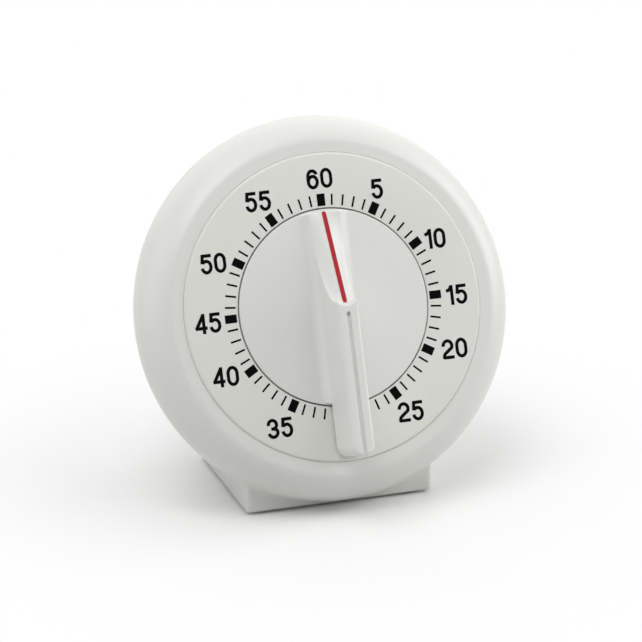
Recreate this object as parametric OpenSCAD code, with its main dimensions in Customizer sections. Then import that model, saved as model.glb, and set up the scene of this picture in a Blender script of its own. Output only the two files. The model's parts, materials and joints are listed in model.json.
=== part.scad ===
// Wind-up timer: a round dial with a turning knob, leaning back on a low foot block.
// Sizes are millimetres. +Z is up, the dial faces -Y, and the origin is on the table under the
// middle of the whole timer. The case, the dial and the movement are drawn in the dial's own
// frame: x to the right, y up the dial and z straight out of it, with the dial's face at z = 0.

/* [Foot block] */
// Width of the foot block
base_w = 52; // [48:1:56]
// Depth of the foot block
base_d = 42; // [40:1:46]
// Distance of its front face in front of the dial's centre
base_lead = 5.5; // [4.5:0.5:7]
// Height of its upright back face above the table
base_back_h = 6; // [5:0.5:8]
// Height at which its sloping top has run into the case
base_top_h = 19; // [17:1:21]
// Depth of the sloping top
base_slope_d = 13; // [11:1:15]
// Radius of its upright edges
base_edge_r = 1.2; // [0.6:0.1:2]
// Height of the foot block's underside above the table
foot_stand = 0.8; // [0.5:0.1:1]
// Radius of a rubber foot
foot_r = 3.5; // [3:0.25:4]
// Depth of the pocket that holds a foot
foot_pocket = 1.2; // [0.8:0.1:1.4]
// Distance of a foot's centre from the block's sides
foot_inset = 5.5; // [5:0.25:7]

/* [Case] */
// Lean of the dial back from upright, in degrees
dial_lean = 22; // [20:1:24]
// Radius of the round bezel's section
bezel_r = 12; // [11.5:0.25:12.5]
// Depth of that section's centre behind the dial's face
bezel_depth = 11.4; // [11:0.1:11.8]
// Distance of that section's centre inside the dial plate's edge
bezel_inset = 1.3; // [1:0.1:1.6]
// Depth of the case from the dial's face to its flat back
case_depth = 37; // [36.5:0.5:40]
// Radius of the case's back edge
case_back_r = 7; // [6:0.25:8]
// Taper of the case's side, in degrees
case_taper = 20; // [17:1:22]
// Wall of the case
wall = 2.2; // [1.9:0.1:2.4]
// Depth of the joint between the two halves behind the dial's face
split_depth = 27; // [26:0.5:28]
// Height of the case's lowest point above the table
case_clear = 1.2; // [1:0.1:1.6]
// Thickness of the lip that centres the two halves
lip_t = 1.2; // [1:0.1:1.5]
// Length of the lip past the joint
lip_h = 2.5; // [2:0.1:3]
// Gap round the lip
lip_gap = 0.12; // [0.08:0.01:0.2]
// Number of sound slots in the back
slot_count = 7; // [5:2:9]
// Distance between the middles of two sound slots
slot_pitch = 5; // [4:0.5:5.5]
// Width of a sound slot
slot_w = 2; // [1.5:0.1:2.5]
// Radius of the round field that the slots fill
slot_field_r = 18; // [16:0.5:20]

/* [Case screws] */
// Radius of the circle that the case screws stand on
screw_circle_r = 34; // [33.5:0.25:35]
// Angle of the case screws above and below the horizontal
screw_angle = 25; // [20:1:30]
// Radius of a case screw's shank
screw_r = 1.25; // [1:0.05:1.4]
// Length of the shank inside the front half
screw_grip = 11; // [9:0.5:14]
// Radius of its head
screw_head_r = 2.7; // [2.4:0.1:2.9]
// Thickness of its head
screw_head_t = 1.8; // [1.4:0.1:2.2]
// Plastic between its head and the joint
screw_seat_t = 4; // [3:0.25:5]
// Width of the cross in its head
cross_w = 0.7; // [0.5:0.1:0.9]

/* [Dial] */
// Radius of the dial plate
dial_r = 40.5; // [40:0.25:42]
// Thickness of the dial plate
dial_t = 2; // [1.8:0.1:2.2]
// Gap between the dial plate and the wall of its recess
dial_edge_gap = 0.3; // [0.1:0.05:0.4]
// Depth of the bezel's flat land round the dial plate behind the dial's face
land_drop = 0.6; // [0.3:0.05:0.8]
// Thickness of the ledge behind the dial plate
seat_t = 2.4; // [2.2:0.1:2.6]
// Radius of a locating peg on the dial plate's back
peg_r = 1; // [0.8:0.05:1.2]
// Length of a locating peg
peg_h = 1.6; // [1.2:0.1:1.8]
// Radius of the circle of pegs
peg_circle_r = 33; // [31:0.5:36]

/* [Knob] */
// Radius of the knob's disc
disc_r = 25.9; // [25.8:0.1:26.6]
// Gap round the disc
disc_gap = 0.4; // [0.25:0.05:0.5]
// Thickness of the disc behind the dial's face
disc_t = 1.6; // [1.4:0.05:1.7]
// Height of the disc's face above the dial's face
disc_proud = 0.3; // [0.1:0.05:0.5]
// Height of the grip fin above the dial's face
fin_h = 12.5; // [12:0.25:13.5]
// Length of the fin from the knob's centre to its free end
fin_len = 39.5; // [38:0.25:40]
// Width of the fin at the dial's face
fin_foot_w = 8; // [7.5:0.1:9]
// Width of the fin at its top
fin_top_w = 5.7; // [5:0.1:6.5]
// Radius of the fin's long top edges
fin_edge_r = 0.9; // [0.6:0.1:1.2]
// Radius of the corners of its free end
fin_end_r = 2.8; // [2.2:0.1:3.4]
// Radius of the fillet where the grip runs into the disc
grip_fillet_r = 2.5; // [1:0.25:3]
// Angle by which the nose widens to its tip on each side
nose_flare = 1.2; // [0.5:0.1:3]
// Height of the fin's free part above the dial plate
fin_clear = 0.8; // [0.5:0.05:1.2]
// Width of the groove along the fin's top
groove_w = 1.2; // [0.9:0.1:1.5]
// Depth of that groove
groove_d = 0.8; // [0.5:0.1:1.2]
// Distance of the nose's outer end from the centre
nose_len = 25.2; // [24:0.1:25.5]
// Height of the nose at its outer end
nose_low = 0.9; // [0.7:0.05:1.2]
// Height of the nose where it meets the fin
nose_high = 10.6; // [10:0.1:11]
// Distance of that meeting line from the centre
nose_start = 0.8; // [0.5:0.1:1.2]
// Width of the red pointer
pointer_w = 1.2; // [0.9:0.1:1.5]
// Thickness of the pointer
pointer_t = 0.8; // [0.6:0.05:1]
// Height of the pointer above the nose
pointer_proud = 0.15; // [0.05:0.05:0.3]
// Radius of the hub behind the disc
hub_r = 4.6; // [4.2:0.1:5]
// Gap round the hub
hub_gap = 0.8; // [0.5:0.05:1]
// Angle that the knob turns from zero to full
knob_travel = 355; // [354:0.5:356]

/* [Movement plates] */
// Radius of the movement's plates
plate_r = 28; // [27.8:0.1:28.5]
// Thickness of the plates
plate_t = 1.2; // [1:0.1:1.3]
// Free depth between the plates
plate_gap = 13; // [12.8:0.1:13.4]
// Height of the pads between the case and the front plate
pad_t = 0.6; // [0.5:0.05:0.8]
// Radius of a pad
pad_r = 3; // [2.6:0.1:3.4]
// Radius of the circle that the pads stand on
pad_circle_r = 22; // [21.5:0.25:22.5]
// Radius of a pillar
pillar_r = 2; // [1.6:0.1:2.2]
// Radius of the circle that the pillars stand on
pillar_circle_r = 25; // [24.8:0.1:25.4]
// Radius of a pillar's threaded ends
spigot_r = 1; // [0.8:0.05:1.2]
// Size of a pillar nut across its corners
nut_w = 4.2; // [3.8:0.1:4.4]
// Thickness of a pillar nut
nut_t = 1.1; // [0.9:0.05:1.2]
// Radius of a movement screw's shank
plate_screw_r = 1.1; // [0.9:0.05:1.2]
// Radius of a movement screw's head
plate_screw_head_r = 2; // [1.8:0.1:2.2]
// Thickness of a movement screw's head
plate_screw_head_t = 1.2; // [1:0.1:1.4]

/* [Arbors] */
// Radius of the main arbor
main_r = 2.5; // [2.4:0.05:2.6]
// Radius of the main arbor inside the knob
main_front_r = 2; // [1.8:0.05:2.2]
// Radius of the main arbor's back pivot
main_pivot_r = 1.6; // [1.4:0.05:1.7]
// Depth of the flat that keeps the knob from slipping
main_flat = 0.5; // [0.3:0.05:0.7]
// Length of the main arbor inside the knob, past the dial's face
main_reach = 5; // [4:0.25:7]
// Radius of the other arbors
arbor_r = 0.75; // [0.7:0.05:0.8]
// Radius of their pivots
pivot_r = 0.45; // [0.4:0.025:0.5]
// Radius of the hammer's arbor
hammer_arbor_r = 1; // [0.9:0.05:1.1]
// Running clearance of a pivot in its hole, on the radius
pivot_gap = 0.05; // [0.03:0.01:0.08]
// End play of an arbor between the plates
end_play = 0.2; // [0.15:0.05:0.3]

/* [Going train] */
// Module of the main wheel and its pinion
main_module = 0.5; // [0.49:0.005:0.51]
// Teeth of the main wheel
main_teeth = 54; // [54:1:54]
// Teeth of the second pinion
second_pinion_teeth = 9; // [9:1:9]
// Module of the second wheel and its pinion
second_module = 0.4; // [0.39:0.005:0.41]
// Teeth of the second wheel
second_teeth = 48; // [48:1:48]
// Teeth of the third and the escape pinion
small_pinion_teeth = 8; // [8:1:8]
// Module of the third wheel and its pinion
third_module = 0.35; // [0.345:0.0025:0.355]
// Teeth of the third wheel
third_teeth = 48; // [48:1:48]
// Thickness of the main wheel
main_wheel_t = 0.9; // [0.8:0.05:1]
// Thickness of the other wheels
wheel_t = 0.6; // [0.5:0.05:0.65]
// Play between meshing teeth
tooth_play = 0.08; // [0.06:0.01:0.1]

/* [Escapement] */
// Teeth of the escape wheel
escape_teeth = 15; // [15:2:15]
// Radius of the escape wheel
escape_r = 6; // [5.8:0.1:6.1]
// Depth of its teeth
escape_tooth_h = 1.3; // [1.2:0.05:1.4]
// Radius of a pallet pin
pallet_pin_r = 0.35; // [0.3:0.01:0.36]
// Gap between the wheel's tips and the pins at mid swing
pallet_gap = 0.12; // [0.1:0.01:0.15]
// Length of the balance bar
balance_len = 13; // [11:0.5:13.5]
// Radius of the weights at its ends
balance_weight_r = 1.3; // [1:0.1:1.5]

/* [Ratchet and trip] */
// Radius of the ratchet wheel
ratchet_r = 5.5; // [5.2:0.1:5.7]
// Depth of the ratchet's teeth
ratchet_tooth_h = 1; // [0.9:0.05:1.1]
// Thickness of the ratchet wheel
ratchet_t = 1.1; // [1:0.05:1.15]
// Radius of the click's pivot circle
click_circle_r = 9.5; // [9.3:0.1:9.7]
// Radius of the trip cam
cam_r = 5.2; // [5:0.1:5.3]
// Width of the notch in the cam
cam_notch_w = 1.6; // [1.4:0.1:1.8]
// Gap between the cam and the nose of the lifted trip lever
cam_gap = 0.3; // [0.2:0.05:0.4]
// Angle that the trip lever drops
trip_drop = 5; // [4.5:0.25:5.5]
// Thickness of the trip lever
lever_t = 0.5; // [0.4:0.05:0.5]

/* [Spring barrel] */
// Inside radius of the spring barrel
barrel_bore_r = 12.2; // [12:0.1:12.4]
// Wall of the spring barrel
barrel_wall = 1; // [0.8:0.05:1]
// Depth of the barrel for the spring
barrel_h = 5.4; // [5.2:0.1:5.5]
// Thickness of the toothed barrel floor
barrel_floor_t = 1; // [0.9:0.05:1.1]
// Thickness of the barrel's cover
cover_t = 0.4; // [0.3:0.05:0.45]
// Teeth of the barrel
barrel_teeth = 56; // [56:1:56]
// Thickness of the mainspring's strip
strip_t = 0.35; // [0.25:0.05:0.45]
// Width of the mainspring's strip
strip_w = 4.7; // [4.4:0.1:4.8]
// Turns of the mainspring
strip_turns = 6; // [5:0.5:7]

/* [Alarm] */
// Radius of the star wheel
star_r = 5.5; // [5.3:0.1:5.6]
// Teeth of the star wheel
star_teeth = 10; // [10:2:10]
// Depth of the star wheel's teeth
star_tooth_h = 1.6; // [1.5:0.05:1.7]
// Radius of a verge pin
verge_pin_r = 0.4; // [0.35:0.01:0.42]
// Gap between the star's tips and the verge pins at mid swing
verge_gap = 0.15; // [0.12:0.01:0.2]
// Swing of the hammer to each side, in degrees
hammer_swing = 3.6; // [3:0.1:3.8]
// Radius of the hammer's head
hammer_head_r = 2.2; // [2:0.1:2.4]
// Length of the hammer's head
hammer_head_h = 4; // [3.5:0.25:5]
// Radius of the bell
bell_r = 19; // [18.5:0.25:19.25]
// Radius of the bell's round shoulder as a share of the bell's depth
bell_round = 0.78; // [0.6:0.01:0.9]
// Wall of the bell
bell_wall = 0.9; // [0.8:0.05:1]
// Radius of the bell's post
post_r = 3; // [2.5:0.1:3.2]

/* [Hidden] */
$fn = 96;

// A length past any face, for cuts that run right through
over = 1;
pressure = 20;

// How far the case's straight side lies inside the arcs that it joins
side_nip = 0.002;

// Plastic round the case screws, and the room round their shanks and heads
screw_wall = 1.75;
pocket_wall = 1.4;
screw_gap = 0.25;
screw_head_gap = 0.3;
screw_end_room = 0.5;

// Depth that the movement screws reach into the case, and that of the holes for them
plate_screw_bite = 0.6 * wall;
plate_screw_hole = 0.7 * wall;

// Arms of the cross in a screw's head, as a share of the head's radius
cross_share = 0.6;

// Least radius of the foot block's upright edges on the inside
inner_edge_r = 0.4;

// The bush that the main arbor turns in, and its flange
bush_wall = 1.1;
bush_flange = 0.8;

// Depths of the fixed pieces, each the place of a back face unless its name says front
seat_back = -dial_t - seat_t;
well_room = 3;
well_floor = -disc_t - well_room;
well_back = well_floor - wall;
plate_front = well_back - pad_t;
front_plate_z = plate_front - plate_t;
rear_plate_front = front_plate_z - plate_gap;
rear_plate_z = rear_plate_front - plate_t;
case_inner_back = -case_depth + wall;

// Case outline: the centre of the bezel's round section and that of the back edge
ring_r = dial_r - bezel_inset;
back_z = case_back_r - case_depth;
back_ring_r = side_r(back_z, 0) - case_back_r / cos(case_taper);

// The part of the disc that the grip stands on, and how deep its fillet's foot is rooted in it
disc_root = disc_r - 0.6;
root_sink = 0.5;

// Distance of the groove's inner end below the knob's centre
groove_from = 2;

// The well that the knob's disc turns in, with the stops behind the disc
well_ledge = 1.1;
well_r = disc_r - well_ledge;
hub_past = 0.8;
hub_back = well_floor - hub_past;
stop_r = 22;
stop_at = 90;
stop_len = 2.4;
tab_w = 0.9;
rib_w = 0.6;
tab_gap = 0.4;
rib_h = 2;

// Place of the dial's centre, so that the case just clears the table and the origin is in the middle
front_low = ring_r * cos(dial_lean) + bezel_depth * sin(dial_lean) + bezel_r;
back_low = back_ring_r * cos(dial_lean) - back_z * sin(dial_lean) + case_back_r;
dial_z = case_clear + max(front_low, back_low);
front_reach = fin_len * sin(dial_lean) + fin_h * cos(dial_lean);
back_reach = back_ring_r * sin(dial_lean) - back_z * cos(dial_lean) + case_back_r;
dial_y = (front_reach - back_reach) / 2;
base_front = dial_y - base_lead;
base_back = base_front + base_d;

// Directions round the dial's centre, in degrees from the dial's right-hand side
pillar_angles = [10, 120, 215, 335];
pad_angles = [100, 190, 300];
peg_angles = [30, 150, 270];
second_dir = 250;
third_dir = 285;
escape_dir = 30;
pallet_dir = 20;
alarm_dir = 60;
verge_dir = 95;
click_dir = 150;
notch_dir = -52;

// Tooth heights in modules: a pinion's teeth are moved out and its wheel's teeth moved in
pinion_shift = 0.5;
pinion_tip = 1.2;
pinion_root = 0.9;
wheel_tip = 0.6;
wheel_root = 1.5;
pinion_levels = [-0.24, 0.3, 0.8];
wheel_levels = [0];

// Places of the arbors in the dial's frame
second_at = polar((main_teeth + second_pinion_teeth) * main_module / 2, second_dir);
third_at = second_at + polar((second_teeth + small_pinion_teeth) * second_module / 2, third_dir);
escape_at = third_at + polar((third_teeth + small_pinion_teeth) * third_module / 2, escape_dir);
escape_pitch = 360 / escape_teeth;
pallet_pin_dir = 1.75 * escape_pitch;
pallet_pin_at = escape_r + pallet_gap + pallet_pin_r;
pallet_at = escape_at + polar(pallet_pin_at / cos(pallet_pin_dir), pallet_dir);
alarm_at = polar((barrel_teeth + small_pinion_teeth) * main_module / 2, alarm_dir);
star_pitch = 360 / star_teeth;
verge_pin_dir = 1.25 * star_pitch;
verge_pin_at = star_r + verge_gap + verge_pin_r;
hammer_at = alarm_at + polar(verge_pin_at / cos(verge_pin_dir), verge_dir);
arbor_places = [second_at, third_at, escape_at, pallet_at, alarm_at];

// Lightening holes of the train wheels and of the escape wheel, as shares of their radius
wheel_holes = 5;
wheel_hole_share = 0.2;
wheel_ring_share = 0.55;
escape_hole_share = 0.17;
escape_ring_share = 0.48;

// Half angles of the pointed teeth at their tips and roots
escape_tip_half = 0.6;
escape_root_half = 5;
star_tip_half = 1.2;
star_root_half = 8;

// Bosses and arms of the pallet anchor, the balance bar and the verge
anchor_boss_r = 1.6;
anchor_arm_w = 1.4;
balance_boss_r = 1.5;
balance_bar_w = 1;
verge_boss_wall = 1;
verge_arm_w = 1.6;
stop_boss_wall = 0.8;
arm_boss_wall = 1.2;

// Depths of the moving pieces: back faces, worked out from the plates backwards
layer = 0.2;
// Length that a pinion's teeth stand past their wheel on each side
tooth_over = 0.3;
second_wheel_z = front_plate_z - 2 * layer - wheel_t;
third_pinion_z = second_wheel_z - 2 * layer;
main_hub_r = 4;
main_hub_h = 0.5;
main_wheel_z = second_wheel_z - main_hub_h - main_wheel_t;
second_pinion_z = main_wheel_z - tooth_over;
ratchet_z = main_wheel_z - layer - ratchet_t;
play = 0.1;
click_t = ratchet_t - play;
click_z = main_wheel_z - layer - click_t;
rivet_head_t = 0.4;
rivet_head_r = 1.3;
third_wheel_z = click_z - layer;
escape_pinion_z = third_wheel_z - tooth_over;
cam_t = 0.6;
cam_hub_h = 0.6;
cam_hub_wall = 0.5;
cam_z = ratchet_z - cam_hub_h - cam_t;
lever_z = cam_z + (cam_t - lever_t) / 2;
cover_gap = 0.3;
cover_z = cam_z - cover_gap - cover_t;
barrel_z = cover_z - barrel_h;
barrel_floor_z = barrel_z - barrel_floor_t;
barrel_boss_h = 0.8;
strip_z = barrel_z + (barrel_h - strip_w) / 2;
strip_gap = 0.03;
strip_room = 0.4;
strip_step = 15;
balance_t = 1;
balance_lift = 0.25;
balance_z = lever_z + balance_lift;
escape_drop = 2;
escape_wheel_z = cover_z - escape_drop;
anchor_gap = 1;
anchor_z = escape_wheel_z - anchor_gap - wheel_t;
pallet_pin_h = 2 * wheel_t + anchor_gap + 2 * layer;
star_z = front_plate_z - 2 * layer - wheel_t;
verge_z = star_z - 2 * layer - wheel_t;
verge_pin_h = 2 * wheel_t + 2.5 * layer;
hammer_arm_t = 1.2;
hammer_arm_gap = 0.3;
hammer_arm_z = rear_plate_z - nut_t - hammer_arm_gap - hammer_arm_t;
bell_screw_r = 1.2;
bell_screw_h = 4.5;
bell_screw_head_h = 1;
bell_room = 0.6;
bell_front = hammer_arm_z - play;
bell_z = case_inner_back + bell_room + bell_screw_head_h;
bell_h = bell_front - bell_z;
bell_edge_r = bell_round * bell_h;

// Bell and hammer: the arm stands square to the line from the bell to the head
bell_at = [-7, -4];
strike_gap = 0.06;
reach = hammer_at - bell_at;
head_dist = bell_r + hammer_head_r + strike_gap
    + sqrt(pow(norm(reach), 2) - pow(bell_r + hammer_head_r, 2)) * sin(hammer_swing);
head_dir = atan2(reach[1], reach[0]) - acos(head_dist / norm(reach));
head_at = bell_at + polar(head_dist, head_dir);
hammer_w = 2;
stop_arm_w = 1.4;
stop_arm_len = 9.8;
stop_arm_dir = -51;
stop_end = hammer_at + polar(stop_arm_len, stop_arm_dir);

// Trip lever: its nose rides over the cam, and its second arm ends beside the hammer's stop arm
nose_r = 0.4;
nose_h = 2.3;
trip_arm = 17.1;
nose_rest_room = 0.8;
cam_notch_d = trip_arm * sin(trip_drop) - cam_gap + nose_rest_room;
lever_w = 1.8;
lever_boss_r = 1.8;
catch_w = 1.4;
catch_gap = 0.35;
trip_pivot_r = 0.75;
trip_collar_r = 1.2;
nose_tip = polar(cam_r + cam_gap + nose_r, notch_dir);
elbow = nose_tip + polar(nose_h, notch_dir);
trip_at = nose_tip + polar(trip_arm, notch_dir + 90);
catch_end = stop_end + (stop_arm_w / 2 + catch_w / 2 + catch_gap) * unit(trip_at - stop_end);
trip_spring_t = 0.3;
trip_spring_gap = 0.12;
trip_spring_at = 9;
trip_stud_r = 1;
trip_stud_at = polar(19, -25);

// Click: its tip waits beside the steep face of a ratchet tooth, square to its pivot
ratchet_teeth = 12;
click_tip_r = ratchet_r - ratchet_tooth_h / 2;
click_len = sqrt(pow(click_circle_r, 2) - pow(click_tip_r, 2));
click_pivot_r = 0.75;
click_boss_r = 1.6;
click_gap = 0.1;
click_spring_t = 0.35;
click_back_w = 1.1;
click_front_w = 0.9;
click_nose_w = 0.25;
click_spring_side = 1.5;
click_spring_drop = 2;
click_post_at = [8.3, 3.2];
click_post_r = 0.6;

function polar(r, a) = r * [cos(a), sin(a)];
function unit(v) = v / norm(v);
function involute(a) = tan(a) * 180 / PI - a;

// Radius of the case's tapered side at depth z, drawn in by inset
function side_r(z, inset) =
    ring_r + (bezel_r - inset + (z + bezel_depth) * sin(case_taper)) / cos(case_taper);

// Half the angle of a gear tooth at radius r
function tooth_half(r, base_r, start) =
    start - involute(acos(min(1, base_r / r)));

// Puts things drawn in the dial's frame in their place on the timer
module at_dial() {
    translate([0, dial_y, dial_z]) rotate([90 - dial_lean, 0, 0]) children();
}

// A flat piece whose back face is at z
module sheet(z, t) {
    translate([0, 0, z]) linear_extrude(t) children();
}

// A round rod whose back end is at z
module rod(r, z, h) {
    translate([0, 0, z]) cylinder(r = r, h = h);
}

module ring_2d(outer, inner) {
    difference() {
        circle(outer);
        circle(inner);
    }
}

// A straight bar with round ends at a and b
module bar_2d(a, b, w) {
    side = w / 2 * unit([a[1] - b[1], b[0] - a[0]]);
    translate(a) circle(w / 2);
    translate(b) circle(w / 2);
    polygon([a - side, b - side, b + side, a + side]);
}

// A rectangle from the corner at with rounded corners
module rounded_2d(at, size, r) {
    translate(at + [r, 0]) square(size - [2 * r, 0]);
    translate(at + [0, r]) square(size - [0, 2 * r]);
    for (x = [r, size[0] - r], y = [r, size[1] - r])
        translate(at + [x, y]) circle(r);
}

// Teeth of a gear, with one tooth pointing in direction turn
module gear_2d(teeth, module_size, shift, tip, root, levels, turn) {
    pitch_r = teeth * module_size / 2;
    base_r = pitch_r * cos(pressure);
    start = 90 / teeth + 360 * shift * tan(pressure) / (PI * teeth)
        - tooth_play * 90 / (PI * pitch_r) + involute(pressure);
    radii = concat([pitch_r - root * module_size], [for (k = levels) pitch_r + k * module_size],
        [pitch_r + tip * module_size]);
    last = len(radii) - 1;
    polygon([for (i = [0:teeth - 1], side = [-1, 1], k = [0:last])
        let (r = radii[side < 0 ? k : last - k])
        polar(r, turn + 360 * i / teeth + side * tooth_half(r, base_r, start))]);
}

module wheel_teeth_2d(teeth, module_size, turn) {
    gear_2d(teeth, module_size, -pinion_shift, wheel_tip, wheel_root, wheel_levels, turn);
}

module pinion_teeth_2d(teeth, module_size, turn) {
    gear_2d(teeth, module_size, pinion_shift, pinion_tip, pinion_root, pinion_levels, turn);
}

// A wheel's blank: its bore and a ring of round holes that lighten it
module wheel_2d(bore_r, holes, hole_r, hole_circle_r) {
    difference() {
        children();
        circle(bore_r);
        for (i = [0:holes - 1])
            translate(polar(hole_circle_r, 360 * i / holes)) circle(hole_r);
    }
}

// Pointed teeth, with one tooth pointing in direction turn
module pointed_2d(teeth, tip_r, tooth_h, tip_half, root_half, turn) {
    root_r = tip_r - tooth_h;
    polygon([for (i = [0:teeth - 1], k = [0:3])
        let (a = turn + 360 * i / teeth)
        k == 0 ? polar(root_r, a - root_half) : k == 1 ? polar(tip_r, a - tip_half)
        : k == 2 ? polar(tip_r, a + tip_half) : polar(root_r, a + root_half)]);
}

// A thin arbor that turns between the plates on its two pivots
module arbor() {
    rod(arbor_r, rear_plate_front + end_play, plate_gap - 2 * end_play);
    rod(pivot_r, rear_plate_z, plate_gap + 2 * plate_t);
}

// Half section of the case's outline, drawn in by inset
module case_2d(inset) {
    side = [cos(case_taper), -sin(case_taper)];
    front = [ring_r, -bezel_depth];
    back = [back_ring_r, back_z];
    // The straight side lies a hair inside both arcs, so that it crosses each of them once
    back_side = back + (case_back_r - inset - side_nip) * side;
    front_side = front + (bezel_r - inset - side_nip) * side;
    translate(front) circle(bezel_r - inset);
    translate(back) circle(case_back_r - inset);
    polygon([[0, inset - case_depth], back - [0, case_back_r - inset], back, back_side, front_side,
        front, front + [0, bezel_r - inset], [0, bezel_r - bezel_depth - inset]]);
}

// A band of the half section between two depths
module band_2d(from_z, to_z) {
    translate([0, from_z]) square([ring_r + bezel_r + over, to_z - from_z]);
}

module front_shell_2d() {
    difference() {
        case_2d(0);
        difference() {
            intersection() {
                case_2d(wall);
                band_2d(-case_depth, seat_back);
            }
            translate([0, well_back]) square([well_r + wall, -well_back]);
        }
        band_2d(-case_depth - over, -split_depth);
        translate([0, -dial_t]) square([dial_r + dial_edge_gap, dial_t + bezel_r]);
        translate([0, -land_drop]) square([ring_r + bezel_r, bezel_r]);
        translate([0, well_floor]) square([well_r, -well_floor]);
        translate([0, well_back - over]) square([hub_r + hub_gap, wall + 2 * over]);
    }
}

module rear_shell_2d() {
    lip_r = side_r(-split_depth, wall) - lip_gap;
    difference() {
        case_2d(0);
        case_2d(wall);
        band_2d(-split_depth, bezel_r);
    }
    translate([lip_r - lip_t, -split_depth - lip_t]) square([lip_t, lip_t + lip_h]);
}

// The foot block's solid, drawn in by inset
module block(inset) {
    rise = (base_top_h - base_back_h) / base_slope_d;
    low = base_back_h - inset * sqrt(1 + rise * rise);
    back = base_back - inset;
    floor_z = foot_stand + inset;
    intersection() {
        linear_extrude(base_top_h + over)
            rounded_2d([inset - base_w / 2, base_front + inset],
                [base_w - 2 * inset, base_d - 2 * inset], max(base_edge_r - inset, inner_edge_r));
        translate([-base_w, 0, 0]) rotate([90, 0, 90]) linear_extrude(2 * base_w)
            polygon([[base_front, floor_z], [back, floor_z], [back, low + inset * rise],
                [base_back - (base_top_h - low) / rise, base_top_h], [base_front, base_top_h]]);
    }
}

// The foot block's walls as far as the case's outside
module foot_block() {
    difference() {
        block(0);
        block(wall);
        at_dial() rotate_extrude() case_2d(wall / 2);
    }
}

// All space in front of the joint between the halves, or with side = -1 all space behind it
module half_space(side) {
    size = 4 * ring_r;
    translate([0, 0, side * size / 2 - split_depth]) cube(size, center = true);
}

module at_feet() {
    for (x = [-1, 1], y = [base_front + foot_inset, base_back - foot_inset])
        translate([x * (base_w / 2 - foot_inset), y, 0]) children();
}

module at_case_screws() {
    for (a = [screw_angle, 180 - screw_angle, 180 + screw_angle, 360 - screw_angle])
        translate(polar(screw_circle_r, a)) children();
}

module foot_pockets() {
    at_feet() cylinder(r = foot_r, h = foot_stand + foot_pocket);
}

module front_case() {
    boss_r = screw_r + screw_wall;
    color("white") difference() {
        union() {
            intersection() {
                foot_block();
                at_dial() half_space(1);
            }
            at_dial() {
                rotate_extrude() front_shell_2d();
                at_case_screws() rod(boss_r, -split_depth, split_depth + seat_back + over / 2);
                for (a = pad_angles)
                    translate(polar(pad_circle_r, a)) rod(pad_r, plate_front, pad_t + wall / 2);
                rotate(stop_at) translate([stop_r - stop_len / 2, -rib_w / 2, well_floor - wall / 2])
                    cube([stop_len, rib_w, rib_h + wall / 2]);
            }
        }
        foot_pockets();
        at_dial() {
            at_case_screws() rod(screw_r, -split_depth - over, screw_grip + over);
            for (a = pad_angles)
                translate(polar(pad_circle_r, a))
                    rod(plate_screw_r, plate_front - over, pad_t + plate_screw_hole + over);
            for (a = peg_angles)
                translate(polar(peg_circle_r, a))
                    rod(peg_r + pivot_gap, -dial_t - peg_h - play, peg_h + over);
        }
    }
}

module rear_case() {
    pocket_r = screw_head_r + screw_head_gap;
    boss_r = pocket_r + pocket_wall;
    seat_z = -split_depth - screw_seat_t;
    color("white") difference() {
        union() {
            intersection() {
                foot_block();
                at_dial() half_space(-1);
            }
            at_dial() {
                rotate_extrude() rear_shell_2d();
                at_case_screws()
                    rod(boss_r, case_inner_back - wall / 2, wall / 2 - case_inner_back - split_depth);
            }
        }
        foot_pockets();
        at_dial() {
            at_case_screws() {
                rod(screw_r + screw_gap, seat_z - over, screw_seat_t + 2 * over);
                rod(pocket_r, -case_depth - over, seat_z + case_depth + over);
            }
            for (i = [0:slot_count - 1]) {
                x = (i - (slot_count - 1) / 2) * slot_pitch;
                half = sqrt(pow(slot_field_r, 2) - x * x) - slot_w / 2;
                sheet(-case_depth - over, wall + 2 * over) bar_2d([x, -half], [x, half], slot_w);
            }
        }
    }
}

module rubber_feet() {
    color("dimgray") at_feet() cylinder(r = foot_r, h = foot_stand + foot_pocket);
}

// A cross-slotted screw whose head's front face is at z
module cross_screw(shank_r, shank_h, head_r, head_t, z) {
    difference() {
        union() {
            rod(shank_r, z, shank_h);
            rod(head_r, z - head_t, head_t);
        }
        for (a = [0, 90])
            rotate(a) translate([-head_r * cross_share, -cross_w / 2, z - head_t - over])
                cube([2 * head_r * cross_share, cross_w, head_t / 2 + over]);
    }
}

module case_screws() {
    color("silver") at_dial() at_case_screws()
        cross_screw(screw_r, screw_seat_t + screw_grip - screw_end_room, screw_head_r, screw_head_t,
            -split_depth - screw_seat_t);
}

module dial_plate() {
    color("whitesmoke") at_dial() {
        sheet(-dial_t, dial_t) ring_2d(dial_r, disc_r + disc_gap);
        for (a = peg_angles)
            translate(polar(peg_circle_r, a)) rod(peg_r, -dial_t - peg_h, peg_h + dial_t / 2);
    }
}

// Cross-section of the grip fin, with round top edges
module fin_2d() {
    flank = atan((fin_foot_w - fin_top_w) / 2 / fin_h);
    edge_z = fin_h - fin_edge_r;
    edge_x = fin_foot_w / 2 - edge_z * tan(flank) - fin_edge_r / cos(flank);
    touch = [edge_x + fin_edge_r * cos(flank), edge_z + fin_edge_r * sin(flank)];
    for (x = [-edge_x, edge_x])
        translate([x, edge_z]) circle(fin_edge_r);
    polygon([[-fin_foot_w / 2, 0], [fin_foot_w / 2, 0], touch, [edge_x, edge_z], [edge_x, fin_h],
        [-edge_x, fin_h], [-edge_x, edge_z], [-touch[0], touch[1]]]);
}

// Extrudes an outline drawn up the dial and out of it, centred on the dial's middle line
module from_side(w) {
    translate([-w / 2, 0, 0]) rotate([90, 0, 90]) linear_extrude(w) children();
}

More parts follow.
